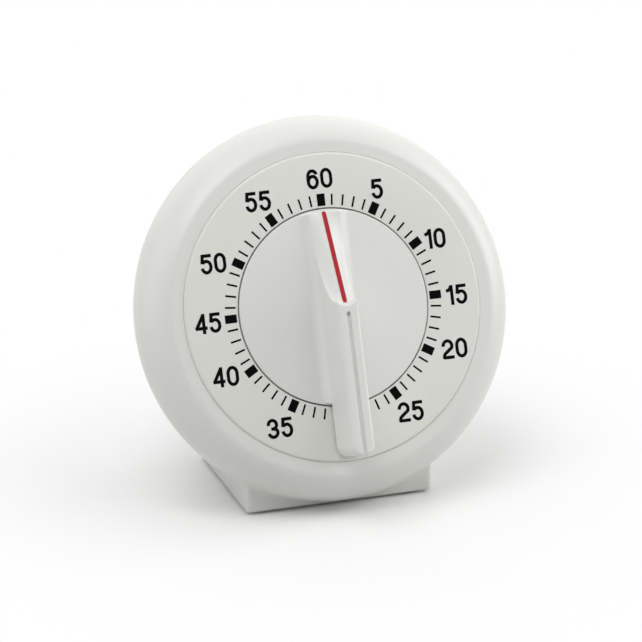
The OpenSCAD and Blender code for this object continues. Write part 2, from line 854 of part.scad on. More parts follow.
// Section of the fin's foot with a fillet on each side, down to the disc
module foot_2d() {
    flank = atan((fin_foot_w - fin_top_w) / 2 / fin_h);
    z = disc_proud + grip_fillet_r;
    x = fin_foot_w / 2 - z * tan(flank) + grip_fillet_r / cos(flank);
    root = [x, z] - (grip_fillet_r + root_sink) * [cos(flank), sin(flank)];
    difference() {
        polygon([[-x, 0], [x, 0], [x, z], root, [-root[0], root[1]], [-x, z]]);
        for (side = [-x, x])
            translate([side, z]) circle(grip_fillet_r - side_nip);
    }
}

// Extrudes a section along the fin, up the dial from one place to another
module along_fin(from, to) {
    translate([0, to, 0]) rotate([90, 0, 0]) linear_extrude(to - from) children();
}

// The free fin below the knob's centre
module fin() {
    intersection() {
        along_fin(-fin_len, nose_start) fin_2d();
        linear_extrude(fin_h)
            rounded_2d([-fin_foot_w / 2, -fin_len], [fin_foot_w, 2 * fin_len], fin_end_r);
        from_side(fin_foot_w)
            polygon([[-fin_len, fin_clear], [-disc_root, fin_clear], [-disc_root, 0], [nose_start, 0],
                [nose_start, fin_h], [-fin_len, fin_h]]);
    }
    intersection() {
        along_fin(-fin_len, nose_start) foot_2d();
        rod(disc_root, 0, fin_h);
    }
}

// The nose above it, which slopes down to the tip and widens on both sides
module nose() {
    intersection() {
        for (turn = [-nose_flare, nose_flare])
            rotate(turn) along_fin(-nose_start, 2 * nose_len) {
                fin_2d();
                foot_2d();
            }
        from_side(4 * fin_foot_w)
            polygon([[-nose_start, 0], [nose_len, 0], [nose_len, nose_low], [nose_start, nose_high],
                [-nose_start, nose_high]]);
        rod(disc_root, 0, fin_h);
    }
}

// The pointer's strip along the nose, with gap left round it
module pointer_strip(gap) {
    a = [nose_start, nose_high];
    b = [nose_len, nose_low];
    up = unit([a[1] - b[1], b[0] - a[0]]);
    from_side(pointer_w + 2 * gap)
        polygon([a - (pointer_t + gap) * up, b - (pointer_t + gap) * up, b + pointer_proud * up,
            a + pointer_proud * up]);
}

// The main arbor's front end, with its flat
module arbor_front(from_z, to_z) {
    intersection() {
        rod(main_front_r, from_z, to_z - from_z);
        translate([-main_r, -main_r, from_z])
            cube([main_r + main_front_r - main_flat, 2 * main_r, to_z - from_z]);
    }
}

module knob() {
    tab_at = stop_at - (360 - knob_travel) / 2;
    color("white") at_dial() difference() {
        union() {
            rod(disc_r, -disc_t, disc_t + disc_proud);
            rod(hub_r, hub_back, -hub_back);
            fin();
            nose();
            rotate(tab_at) translate([stop_r - stop_len / 2, -tab_w / 2, well_floor + tab_gap])
                cube([stop_len, tab_w, well_room - tab_gap + disc_t / 2]);
        }
        pointer_strip(0);
        translate([-groove_w / 2, -fin_len - over, fin_h - groove_d])
            cube([groove_w, fin_len + over - groove_from, groove_d + over]);
        arbor_front(hub_back - over, main_reach);
    }
}

module pointer() {
    color("crimson") at_dial() pointer_strip(0);
}

module main_arbor() {
    color("silver") at_dial() {
        arbor_front(hub_back, main_reach);
        rod(main_r, rear_plate_front + play, hub_back - rear_plate_front - play);
        rod(main_pivot_r, rear_plate_z, plate_t + over);
    }
}

// Holes that both plates have: pivots and pillars
module plate_2d() {
    difference() {
        circle(plate_r);
        for (p = arbor_places)
            translate(p) circle(pivot_r + pivot_gap);
        for (a = pillar_angles)
            translate(polar(pillar_circle_r, a)) circle(spigot_r);
        children();
    }
}

module front_plate() {
    color("goldenrod") at_dial() sheet(front_plate_z, plate_t) plate_2d() {
        circle(main_r + bush_wall);
        translate(hammer_at) circle(pivot_r + pivot_gap);
        translate(trip_at) circle(trip_pivot_r);
        for (a = pad_angles)
            translate(polar(pad_circle_r, a)) circle(plate_screw_r + play);
    }
}

module rear_plate() {
    color("goldenrod") at_dial() sheet(rear_plate_z, plate_t) plate_2d() {
        circle(main_pivot_r + pivot_gap);
        translate(hammer_at) circle(hammer_arbor_r + pivot_gap);
        translate(bell_at) circle(post_r / 2);
    }
}

module plate_pillars() {
    color("silver") at_dial() for (a = pillar_angles)
        translate(polar(pillar_circle_r, a)) {
            rod(pillar_r, rear_plate_front, plate_gap);
            rod(spigot_r, rear_plate_z - nut_t, plate_gap + 2 * plate_t + nut_t);
        }
}

module pillar_nuts() {
    color("gold") at_dial() for (a = pillar_angles)
        translate(polar(pillar_circle_r, a)) sheet(rear_plate_z - nut_t, nut_t) difference() {
            circle(nut_w / 2, $fn = 6);
            circle(spigot_r);
        }
}

module movement_screws() {
    color("silver") at_dial() for (a = pad_angles)
        translate(polar(pad_circle_r, a)) difference() {
            union() {
                rod(plate_screw_r, front_plate_z, plate_t + pad_t + plate_screw_bite);
                rod(plate_screw_head_r, front_plate_z - plate_screw_head_t, plate_screw_head_t);
            }
            translate([-plate_screw_head_r, -cross_w / 2, front_plate_z - plate_screw_head_t - over])
                cube([2 * plate_screw_head_r, cross_w, plate_screw_head_t / 2 + over]);
        }
}

module arbor_bush() {
    color("goldenrod") at_dial() {
        sheet(front_plate_z, plate_t) ring_2d(main_r + bush_wall, main_r + pivot_gap);
        sheet(front_plate_z - bush_flange, bush_flange)
            ring_2d(main_r + bush_wall + bush_flange, main_r + pivot_gap);
    }
}

module main_wheel() {
    color("goldenrod") at_dial() {
        sheet(main_wheel_z, main_wheel_t) wheel_2d(main_r + pivot_gap, 0, 0, 0)
            difference() {
                wheel_teeth_2d(main_teeth, main_module, second_dir + 180 / main_teeth);
                translate(polar(click_circle_r, click_dir + acos(click_tip_r / click_circle_r)))
                    circle(click_pivot_r);
            }
        sheet(main_wheel_z + main_wheel_t, main_hub_h) ring_2d(main_hub_r, main_r + pivot_gap);
    }
}

module ratchet_wheel() {
    root_r = ratchet_r - ratchet_tooth_h;
    color("silver") at_dial() sheet(ratchet_z, ratchet_t) difference() {
        polygon([for (i = [0:ratchet_teeth - 1], r = [ratchet_r, root_r])
            polar(r, click_dir + 360 * i / ratchet_teeth)]);
        circle(main_r);
    }
}

// The click's own frame: the steep tooth face lies along x, and the click reaches up y
module at_click() {
    at_dial() rotate(click_dir) children();
}

module click() {
    low = ratchet_r - ratchet_tooth_h + 2 * click_gap;
    color("silver") at_click() sheet(click_z, click_t) difference() {
        union() {
            translate([click_tip_r, click_len]) circle(click_boss_r);
            polygon([[low, click_gap], [ratchet_r + click_nose_w, click_gap],
                [click_tip_r + click_back_w, click_len], [click_tip_r - click_front_w, click_len],
                [low + click_nose_w, ratchet_r / 2 + click_gap]]);
        }
        translate([click_tip_r, click_len]) circle(click_pivot_r + pivot_gap);
    }
}

module click_rivet() {
    color("silver") at_click() translate([click_tip_r, click_len]) {
        rod(click_pivot_r, click_z - play, main_wheel_z + main_wheel_t - click_z + play);
        rod(rivet_head_r, click_z - play - rivet_head_t, rivet_head_t);
    }
}

module click_spring() {
    tip = [click_tip_r + click_spring_side, click_len - click_spring_drop];
    color("silver") at_click() sheet(click_z, click_t + layer) union() {
        translate(click_post_at) circle(click_post_r);
        bar_2d(click_post_at, tip, click_spring_t);
    }
}

module trip_cam() {
    color("silver") at_dial() difference() {
        union() {
            sheet(cam_z, cam_t) difference() {
                circle(cam_r);
                rotate(notch_dir) translate([cam_r - cam_notch_d, -cam_notch_w / 2])
                    square([cam_notch_d + over, cam_notch_w]);
            }
            rod(main_r + cam_hub_wall, cam_z + cam_t, cam_hub_h);
        }
        rod(main_r, cam_z - over, cam_t + cam_hub_h + 2 * over);
    }
}

// A flat strip wound from the main arbor out to just inside the barrel
module mainspring() {
    steps = 360 / strip_step * strip_turns;
    first = main_r + strip_gap + strip_t / 2;
    last = barrel_bore_r - strip_room - strip_t / 2;
    middle = [for (i = [0:steps]) first + (last - first) * i / steps];
    color("slategray") at_dial() sheet(strip_z, strip_w)
        polygon(concat([for (i = [0:steps]) polar(middle[i] + strip_t / 2, strip_step * i)],
            [for (i = [steps:-1:0]) polar(middle[i] - strip_t / 2, strip_step * i)]));
}

module spring_barrel() {
    color("gold") at_dial() {
        sheet(barrel_floor_z, barrel_floor_t) difference() {
            wheel_teeth_2d(barrel_teeth, main_module, alarm_dir + 180 / barrel_teeth);
            circle(main_r + pivot_gap);
        }
        sheet(barrel_z, barrel_h) ring_2d(barrel_bore_r + barrel_wall, barrel_bore_r);
        sheet(barrel_floor_z - barrel_boss_h, barrel_boss_h) ring_2d(main_hub_r, main_r + pivot_gap);
    }
}

module barrel_cover() {
    color("gold") at_dial() sheet(cover_z, cover_t)
        ring_2d(barrel_bore_r + barrel_wall, main_r + pivot_gap);
}

// A steel arbor at a place, cut with pinion teeth that face the gear in direction turn
module pinion_arbor(at, teeth, module_size, z, h, turn) {
    color("silver") at_dial() translate(at) {
        arbor();
        sheet(z, h) pinion_teeth_2d(teeth, module_size, turn);
    }
}

// A brass wheel pressed on the arbor at a place
module train_wheel(at, teeth, module_size, z, turn) {
    pitch_r = teeth * module_size / 2;
    color("gold") at_dial() translate(at) sheet(z, wheel_t)
        wheel_2d(arbor_r, wheel_holes, pitch_r * wheel_hole_share, pitch_r * wheel_ring_share)
            wheel_teeth_2d(teeth, module_size, turn);
}

module second_pinion() {
    pinion_arbor(second_at, second_pinion_teeth, main_module, second_pinion_z,
        main_wheel_t + 2 * tooth_over, second_dir + 180);
}

module second_wheel() {
    train_wheel(second_at, second_teeth, second_module, second_wheel_z,
        third_dir + 180 / second_teeth);
}

module third_pinion() {
    pinion_arbor(third_at, small_pinion_teeth, second_module, third_pinion_z, wheel_t + 3 * layer,
        third_dir + 180);
}

module third_wheel() {
    train_wheel(third_at, third_teeth, third_module, third_wheel_z, escape_dir + 180 / third_teeth);
}

module escape_pinion() {
    pinion_arbor(escape_at, small_pinion_teeth, third_module, escape_pinion_z,
        wheel_t + 2 * tooth_over, escape_dir + 180);
}

module escape_wheel() {
    color("gold") at_dial() translate(escape_at) sheet(escape_wheel_z, wheel_t)
        wheel_2d(arbor_r, wheel_holes, escape_r * escape_hole_share, escape_r * escape_ring_share)
            pointed_2d(escape_teeth, escape_r, escape_tooth_h, escape_tip_half, escape_root_half,
                pallet_dir + pallet_pin_dir - escape_pitch / 4);
}

module at_pallet_pins() {
    for (side = [-1, 1])
        translate(escape_at + polar(pallet_pin_at, pallet_dir + side * pallet_pin_dir)) children();
}

module pallet_arbor() {
    color("silver") at_dial() translate(pallet_at) arbor();
}

module pallet_anchor() {
    color("silver") at_dial() sheet(anchor_z, wheel_t) difference() {
        union() {
            translate(pallet_at) circle(anchor_boss_r);
            for (side = [-1, 1])
                bar_2d(pallet_at, escape_at + polar(pallet_pin_at, pallet_dir + side * pallet_pin_dir),
                    anchor_arm_w);
        }
        translate(pallet_at) circle(arbor_r);
        at_pallet_pins() circle(pallet_pin_r);
    }
}

module pallet_pins() {
    color("silver") at_dial() at_pallet_pins() rod(pallet_pin_r, anchor_z, pallet_pin_h);
}

module balance_bar() {
    half = balance_len / 2 - balance_weight_r;
    color("silver") at_dial() translate(pallet_at) sheet(balance_z, balance_t) difference() {
        union() {
            for (side = [-1, 1])
                translate(polar(side * half, pallet_dir + 90)) circle(balance_weight_r);
            bar_2d(polar(-half, pallet_dir + 90), polar(half, pallet_dir + 90), balance_bar_w);
            circle(balance_boss_r);
        }
        circle(arbor_r);
    }
}

module alarm_pinion() {
    pinion_arbor(alarm_at, small_pinion_teeth, main_module, barrel_floor_z - layer,
        barrel_floor_t + 2 * layer, alarm_dir + 180);
}

module star_wheel() {
    color("silver") at_dial() translate(alarm_at) sheet(star_z, wheel_t) difference() {
        pointed_2d(star_teeth, star_r, star_tooth_h, star_tip_half, star_root_half,
            verge_dir + verge_pin_dir - star_pitch / 4);
        circle(arbor_r);
    }
}

module hammer_arbor() {
    color("silver") at_dial() translate(hammer_at) {
        rod(hammer_arbor_r, hammer_arm_z, front_plate_z - end_play - hammer_arm_z);
        rod(pivot_r, front_plate_z - end_play, end_play + plate_t);
    }
}

module at_verge_pins() {
    for (side = [-1, 1])
        translate(alarm_at + polar(verge_pin_at, verge_dir + side * verge_pin_dir)) children();
}

module verge() {
    color("silver") at_dial() sheet(verge_z, wheel_t) difference() {
        union() {
            translate(hammer_at) circle(hammer_arbor_r + verge_boss_wall);
            for (side = [-1, 1])
                bar_2d(hammer_at, alarm_at + polar(verge_pin_at, verge_dir + side * verge_pin_dir),
                    verge_arm_w);
        }
        translate(hammer_at) circle(hammer_arbor_r);
        at_verge_pins() circle(verge_pin_r);
    }
}

module verge_pins() {
    color("silver") at_dial() at_verge_pins() rod(verge_pin_r, verge_z, verge_pin_h);
}

module hammer_stop() {
    color("silver") at_dial() sheet(lever_z, lever_t) difference() {
        union() {
            translate(hammer_at) circle(hammer_arbor_r + stop_boss_wall);
            bar_2d(hammer_at, stop_end, stop_arm_w);
        }
        translate(hammer_at) circle(hammer_arbor_r);
    }
}

module hammer_arm() {
    color("silver") at_dial() sheet(hammer_arm_z, hammer_arm_t) difference() {
        union() {
            translate(hammer_at) circle(hammer_arbor_r + arm_boss_wall);
            bar_2d(hammer_at, head_at, hammer_w);
            translate(head_at) circle(hammer_head_r);
        }
        translate(hammer_at) circle(hammer_arbor_r);
    }
}

module hammer_head() {
    color("silver") at_dial() translate(head_at)
        rod(hammer_head_r, hammer_arm_z - hammer_head_h, hammer_head_h);
}

module trip_lever() {
    color("silver") at_dial() sheet(lever_z, lever_t) difference() {
        union() {
            translate(trip_at) circle(lever_boss_r);
            bar_2d(trip_at, elbow, lever_w);
            bar_2d(elbow, nose_tip, 2 * nose_r);
            bar_2d(trip_at, catch_end, catch_w);
        }
        translate(trip_at) circle(trip_pivot_r + pivot_gap);
    }
}

module trip_pivot() {
    color("silver") at_dial() translate(trip_at) {
        rod(trip_pivot_r, lever_z - 2 * layer, front_plate_z + plate_t - lever_z + 2 * layer);
        rod(trip_collar_r, lever_z + lever_t + play, front_plate_z - lever_z - lever_t - play);
    }
}

module trip_spring() {
    along = unit(elbow - trip_at);
    out = [-along[1], along[0]];
    tip = trip_at + trip_spring_at * along + (lever_w / 2 + trip_spring_gap + trip_spring_t / 2) * out;
    color("silver") at_dial() {
        sheet(lever_z, lever_t) bar_2d(trip_stud_at, tip, trip_spring_t);
        translate(trip_stud_at) rod(trip_stud_r, lever_z, front_plate_z - lever_z);
    }
}

// Half section of the bell's outside, drawn in by inset
module bell_2d(inset) {
    edge_r = bell_edge_r - inset;
    flat_r = bell_r - bell_edge_r;
    translate([flat_r, bell_z + bell_edge_r]) circle(edge_r);
    translate([0, bell_z + inset]) square([flat_r, bell_h]);
    translate([0, bell_z + bell_edge_r]) square([bell_r - inset, bell_h]);
}

module bell() {
    color("gainsboro") at_dial() translate(bell_at) rotate_extrude() difference() {
        bell_2d(0);
        bell_2d(bell_wall);
        translate([0, bell_front]) square([2 * bell_r, 2 * bell_h]);
        translate([0, bell_z - over]) square([bell_screw_r + play, 2 * bell_wall + over]);
    }
}

module bell_post() {
    color("silver") at_dial() translate(bell_at) difference() {
        union() {
            rod(post_r, bell_z + bell_wall, rear_plate_z - bell_z - bell_wall);
            rod(post_r / 2, rear_plate_z, plate_t);
        }
        rod(bell_screw_r, bell_z, bell_wall + bell_screw_h + screw_end_room);
    }
}

module bell_screw() {
    color("silver") at_dial() translate(bell_at) difference() {
        union() {
            rod(bell_screw_r, bell_z, bell_wall + bell_screw_h);
            rod(post_r, bell_z - bell_screw_head_h, bell_screw_head_h);
        }
        translate([-post_r, -cross_w / 2, bell_z - bell_screw_head_h - over])
            cube([2 * post_r, cross_w, bell_screw_head_h / 2 + over]);
    }
}

front_case();
rear_case();
rubber_feet();
case_screws();
dial_plate();
knob();
pointer();
main_arbor();
front_plate();
rear_plate();
plate_pillars();
pillar_nuts();
movement_screws();
arbor_bush();
main_wheel();
ratchet_wheel();
click();
click_rivet();
click_spring();
trip_cam();
mainspring();
spring_barrel();
barrel_cover();
second_pinion();
second_wheel();
third_pinion();
third_wheel();
escape_pinion();
escape_wheel();
pallet_arbor();
pallet_anchor();
pallet_pins();
balance_bar();
alarm_pinion();
star_wheel();
hammer_arbor();
verge();
verge_pins();
hammer_stop();
hammer_arm();
hammer_head();
trip_lever();
trip_pivot();
trip_spring();
bell();
bell_post();
bell_screw();
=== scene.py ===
"""A white sixty-minute kitchen timer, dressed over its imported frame.

Sizes are in millimetres until a mesh is made, when they turn into metres. Most pieces are drawn in the
dial's own frame: x to the dial's right, y up the dial and z straight out of its face.
"""
import json
import logging
import math
from collections.abc import Callable, Sequence
from dataclasses import dataclass
from enum import Enum
from typing import ClassVar

import bmesh
import bpy
import numpy as np
from mathutils import Matrix, Vector
from mathutils.geometry import tessellate_polygon


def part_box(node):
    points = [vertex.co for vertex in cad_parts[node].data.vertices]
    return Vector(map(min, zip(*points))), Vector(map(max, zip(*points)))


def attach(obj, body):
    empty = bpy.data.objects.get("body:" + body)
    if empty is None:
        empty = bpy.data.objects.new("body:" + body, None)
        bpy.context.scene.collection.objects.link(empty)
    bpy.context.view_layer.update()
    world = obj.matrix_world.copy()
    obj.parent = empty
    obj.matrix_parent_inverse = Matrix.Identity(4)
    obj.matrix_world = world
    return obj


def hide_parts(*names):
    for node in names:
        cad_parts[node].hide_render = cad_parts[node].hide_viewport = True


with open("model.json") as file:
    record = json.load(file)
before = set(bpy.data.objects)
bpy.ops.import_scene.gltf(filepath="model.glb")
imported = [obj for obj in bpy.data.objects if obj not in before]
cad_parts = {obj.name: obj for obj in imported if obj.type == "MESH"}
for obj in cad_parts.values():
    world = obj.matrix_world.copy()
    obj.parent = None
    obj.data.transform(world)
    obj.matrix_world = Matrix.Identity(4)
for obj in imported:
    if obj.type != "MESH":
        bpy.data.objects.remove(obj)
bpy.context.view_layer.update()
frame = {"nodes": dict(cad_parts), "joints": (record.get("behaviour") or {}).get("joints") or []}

MM = 0.001
PHOTO_SIDE = 642
ROUND_SEGMENTS = 384
WELD = 0.002
SLIVER = 0.001
# Most of a noise lies between these two values.
NOISE_LOW, NOISE_HIGH = 0.3, 0.7
log = logging.getLogger("timer")

Array = np.ndarray
Field = Callable[[Array], Array]
Triple = tuple[float, float, float]
Node = bpy.types.Node
Socket = bpy.types.NodeSocket
Tree = bpy.types.NodeTree


class Slot(Enum):
    """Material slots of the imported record."""

    WHITE_PLASTIC = "white_plastic"
    DIAL_WHITE = "dial_white"
    RED_PLASTIC = "red_plastic"
    FOOT_RUBBER = "foot_rubber"
    PLATED_STEEL = "plated_steel"
    ARBOR_STEEL = "arbor_steel"
    SHEET_STEEL = "sheet_steel"
    SPRING_STEEL = "spring_steel"
    PLATE_BRASS = "plate_brass"
    NICKEL = "nickel"


# Numbers and outlines


def unit(vector: Array) -> Array:
    """Returns the vector at length 1."""
    return vector / np.linalg.norm(vector)


def arc(centre: Sequence[float], radii: Sequence[float], start: float, end: float,
        step: float = 6.0) -> Array:
    """Points on an arc of an ellipse.

    Args:
        centre: Middle of the ellipse.
        radii: Its half width and half height.
        start: First angle in degrees.
        end: Last angle in degrees.
        step: Largest angle between two points, in degrees.

    Returns:
        One row per point.
    """
    count = max(2, math.ceil(abs(end - start) / step) + 1)
    angles = np.radians(np.linspace(start, end, count))
    return np.column_stack((centre[0] + radii[0] * np.cos(angles), centre[1] + radii[1] * np.sin(angles)))


def softened(corners: Sequence[Triple], closed: bool = True, step: float = 15.0) -> Array:
    """A polygon whose corners are rounded.

    Args:
        corners: x, y and rounding radius of each corner.
        closed: False for an open line, whose two ends stay as they are.
        step: Largest angle between two points of a rounding, in degrees.

    Returns:
        One row per point.
    """
    points: list[Array] = []
    count = len(corners)
    for i, (x, y, radius) in enumerate(corners):
        here = np.array((x, y))
        if radius == 0 or (not closed and i in (0, count - 1)):
            points.append(here)
            continue
        back = unit(np.array(corners[i - 1][:2]) - here)
        ahead = unit(np.array(corners[(i + 1) % count][:2]) - here)
        half = math.acos(float(np.clip(back @ ahead, -1, 1))) / 2
        centre = here + unit(back + ahead) * radius / math.sin(half)
        first = here + back * radius / math.tan(half) - centre
        last = here + ahead * radius / math.tan(half) - centre
        turn = math.atan2(first[0] * last[1] - first[1] * last[0], float(first @ last))
        pieces = max(2, math.ceil(abs(math.degrees(turn)) / step))
        for k in range(pieces + 1):
            a = turn * k / pieces
            spin = np.array(((math.cos(a), -math.sin(a)), (math.sin(a), math.cos(a))))
            points.append(centre + spin @ first)
    return np.array(points)


def round_min(a: Array, b: Array, radius: float) -> Array:
    """Returns the distance to two joined solids with a fillet of that radius between them."""
    hollow = np.hypot(np.maximum(radius - a, 0), np.maximum(radius - b, 0))
    return np.maximum(radius, np.minimum(a, b)) - hollow


def round_max(a: Array, b: Array, radius: float) -> Array:
    """Returns the distance to what two solids share, with their common edge rounded to that radius."""
    return -round_min(-a, -b, radius)


def raised(outline: Array, height: float) -> Array:
    """Returns the points of a flat outline at a height."""
    return np.column_stack((outline, np.full(len(outline), height)))


@dataclass(frozen=True)
class DialFrame:
    """The dial's own frame, as the knob's joint gives it."""

    centre: Vector
    normal: Vector

    @classmethod
    def from_joint(cls, name: str) -> "DialFrame":
        """Reads the frame from a joint that turns about the dial's middle and whose axis points into it."""
        joint = next(j for j in frame["joints"] if j["name"] == name)
        return cls(Vector(joint["pos_m"]), -Vector(joint["axis"]).normalized())

    @property
    def matrix(self) -> Matrix:
        """Matrix from dial millimetres to world metres."""
        right = Vector((1, 0, 0))
        up = self.normal.cross(right).normalized()
        turn = Matrix((right, up, self.normal)).transposed().to_4x4()
        return Matrix.Translation(self.centre) @ turn @ Matrix.Scale(MM, 4)

    def local(self, points: Array) -> Array:
        """Turns points in world millimetres into dial millimetres."""
        turn = np.array(self.matrix.to_3x3()) / MM
        return (points - np.array(self.centre) / MM) @ turn


# Mesh making


def put(name: str, data: bpy.types.ID) -> bpy.types.Object:
    """Makes an object and puts it in the scene.

    Args:
        name: The object's name.
        data: The mesh, lamp or camera that it holds.

    Returns:
        The object.
    """
    thing = bpy.data.objects.new(name, data)
    bpy.context.scene.collection.objects.link(thing)
    return thing


class MeshBuilder:
    """Collects points and faces in millimetres and makes one Blender object of them."""

    def __init__(self) -> None:
        """Starts with no points and no faces."""
        self.points: list[Sequence[float]] = []
        self.faces: list[Sequence[int]] = []
        self.flat: set[int] = set()

    def add(self, points: Array, faces: Sequence[Sequence[int]], flat: bool = False) -> None:
        """Adds points and the faces between them.

        Args:
            points: One row per point.
            faces: Numbers of each face's points, counted from 0.
            flat: True where the faces lie in one plane and are shaded flat.
        """
        base = len(self.points)
        if flat:
            self.flat.update(range(len(self.faces), len(self.faces) + len(faces)))
        self.points.extend(map(tuple, np.asarray(points, float)))
        self.faces.extend([tuple(base + i for i in face) for face in faces])

    def grid(self, rows: Array, wrap_rows: bool = False, wrap_columns: bool = False) -> None:
        """Adds a sheet of four-sided faces.

        Args:
            rows: Points by row and column.
            wrap_rows: True where the last row meets the first again.
            wrap_columns: True where the last column meets the first again.
        """
        high, wide = rows.shape[:2]
        faces = [(i * wide + j, i * wide + (j + 1) % wide,
                  (i + 1) % high * wide + (j + 1) % wide, (i + 1) % high * wide + j)
                 for i in range(high if wrap_rows else high - 1)
                 for j in range(wide if wrap_columns else wide - 1)]
        self.add(rows.reshape(-1, 3), faces)

    def lathe(self, profile: Array, segments: int, closed: bool = True) -> "MeshBuilder":
        """Adds a profile turned about the z axis.

        Args:
            profile: Radius and height of each of its points.
            segments: Number of steps round.
            closed: False for an open profile.

        Returns:
            The builder.
        """
        angles = np.arange(segments) * 2 * math.pi / segments
        radius, height = profile[:, 0, None], profile[:, 1, None]
        rows = np.stack((radius * np.cos(angles), radius * np.sin(angles), height + 0 * angles), axis=2)
        self.grid(rows, wrap_rows=closed, wrap_columns=True)
        return self

    def sheet(self, outlines: Sequence[Array], height: float) -> None:
        """Adds a flat face at a height, inside the first outline and outside the others."""
        lines = [[Vector((x, y, 0)) for x, y in outline] for outline in outlines]
        self.add(raised(np.vstack(outlines), height), tessellate_polygon(lines), flat=True)

    def ribbon(self, path: Array, width: float, low: float, high: float, closed: bool = False) -> None:
        """Adds a flat band of even width along a path.

        Args:
            path: Points of the middle line.
            width: Width of the band.
            low: z of its underside.
            high: z of its top.
            closed: True where the path's end meets its start.
        """
        ahead = np.roll(path, -1, 0) - path
        behind = path - np.roll(path, 1, 0)
        if not closed:
            ahead[-1], behind[0] = behind[-1], ahead[0]
        ahead /= np.linalg.norm(ahead, axis=1)[:, None]
        behind /= np.linalg.norm(behind, axis=1)[:, None]
        out = ahead + behind
        out /= np.linalg.norm(out, axis=1)[:, None]
        reach = width / 2 / np.sum(out * ahead, axis=1)[:, None]
        side = np.column_stack((-out[:, 1], out[:, 0])) * reach
        edges = [(path + side, low), (path + side, high), (path - side, high), (path - side, low)]
        rows = np.stack([raised(line, z) for line, z in edges], axis=1)
        self.grid(rows, wrap_rows=closed, wrap_columns=True)
        if not closed:
            for end in (rows[0], rows[-1]):
                self.add(end, [(0, 1, 2, 3)])

    def object(self, name: str, matrix: Matrix, sharp: float = 32.0) -> bpy.types.Object:
        """Makes the Blender object.

        Args:
            name: Name of the object and its mesh.
            matrix: From the builder's millimetres to world metres.
            sharp: Angle between faces, in degrees, above which an edge is shaded sharp.

        Returns:
            The object, in the scene.
        """
        mesh = bpy.data.meshes.new(name)
        mesh.from_pydata(self.points, [], self.faces)
        mesh.transform(matrix)
        shape = bmesh.new()
        shape.from_mesh(mesh)
        shape.faces.ensure_lookup_table()
        mark = shape.faces.layers.int.new("flat")
        for i in self.flat:
            shape.faces[i][mark] = 1
        bmesh.ops.remove_doubles(shape, verts=shape.verts, dist=WELD * MM)
        bmesh.ops.dissolve_degenerate(shape, edges=shape.edges, dist=SLIVER * MM)
        bmesh.ops.recalc_face_normals(shape, faces=shape.faces)
        for face in shape.faces:
            face.smooth = True
        for edge in shape.edges:
            pair = edge.link_faces
            edge.smooth = len(pair) == 2 and pair[0][mark] == pair[1][mark] \
                and edge.calc_face_angle(0.0) < math.radians(sharp)
        shape.faces.layers.int.remove(mark)
        shape.to_mesh(mesh)
        shape.free()
        return put(name, mesh)


@dataclass
class FieldMesher:
    """Meshes the surface on which a distance field is zero, with even four-sided faces.

    The field's slope is read over a share of the step, and is never taken as flatter than the least slope.
    """

    distance: Field
    low: Triple
    high: Triple
    step: float
    offset: float = 0.37
    probe: float = 0.05
    least_slope: float = 0.2

    def samples(self) -> tuple[Array, Array]:
        """Reads the field on a grid that keeps off round numbers.

        Returns:
            The values, and the grid's first point.
        """
        low = np.array(self.low) - self.offset * self.step
        axes = [np.arange(a, b + self.step, self.step) for a, b in zip(low, self.high)]
        grid = np.stack(np.meshgrid(*axes, indexing="ij"), axis=-1)
        values = self.distance(grid.reshape(-1, 3)).reshape(grid.shape[:3])
        return values, low

    def settle(self, points: Array, rounds: int = 4) -> Array:
        """Moves points onto the surface.

        Args:
            points: One row per point.
            rounds: How often each point is moved.

        Returns:
            The moved points.
        """
        near = self.step * self.probe
        for _ in range(rounds):
            value = self.distance(points)
            slope = np.stack([self.distance(points + near * axis) - self.distance(points - near * axis)
                              for axis in np.eye(3)], axis=1) / (2 * near)
            size = np.maximum(np.sum(slope * slope, axis=1), self.least_slope)
            move = -slope * (value / size)[:, None]
            points = points + np.clip(move, -self.step / 2, self.step / 2)
        return points

    def build(self) -> tuple[Array, list[tuple[int, ...]]]:
        """Makes the surface.

        Returns:
            Its points and its faces.
        """
        values, origin = self.samples()
        cells = np.array(values.shape) - 1
        total, count = np.zeros((cells.prod(), 3)), np.zeros(cells.prod())
        quads = []
        for axis in range(3):
            first, second = (axis + 1) % 3, (axis + 2) % 3
            a = np.take(values, range(values.shape[axis] - 1), axis)
            b = np.take(values, range(1, values.shape[axis]), axis)
            found = np.argwhere((a < 0) != (b < 0))
            at_a, at_b = a[tuple(found.T)], b[tuple(found.T)]
            place = found.astype(float)
            place[:, axis] += at_a / (at_a - at_b)
            corners, usable = [], np.ones(len(found), bool)
            for down, left in ((1, 1), (0, 1), (0, 0), (1, 0)):
                cell = found.copy()
                cell[:, first] -= down
                cell[:, second] -= left
                inside = np.all((cell >= 0) & (cell < cells), axis=1)
                usable &= inside
                flat = np.ravel_multi_index(np.where(inside[:, None], cell, 0).T, cells)
                np.add.at(total, flat[inside], place[inside])
                np.add.at(count, flat[inside], 1)
                corners.append(flat)
            quad = np.stack(corners, axis=1)
            quad[at_a >= 0] = quad[at_a >= 0][:, ::-1]
            quads.append(quad[usable])
        quad = np.vstack(quads)
        used, faces = np.unique(quad, return_inverse=True)
        points = origin + total[used] / count[used, None] * self.step
        return self.settle(points), [tuple(map(int, face)) for face in faces.reshape(-1, 4)]


# Finishes


def linear(colour: str) -> tuple[float, ...]:
    """Turns an sRGB hex colour into linear red, green, blue and alpha.

    Args:
        colour: Six hex digits after a hash.

    Returns:
        Four numbers from 0 to 1.
    """
    parts = [int(colour[i:i + 2], 16) / 255 for i in (1, 3, 5)]
    red, green, blue = (p / 12.92 if p <= 0.04045 else ((p + 0.055) / 1.055) ** 2.4 for p in parts)
    return red, green, blue, 1.0


def per_mm(size: float) -> float:
    """Returns the texture scale at which a pattern's features are that many millimetres apart."""
    return 1 / (size * MM)


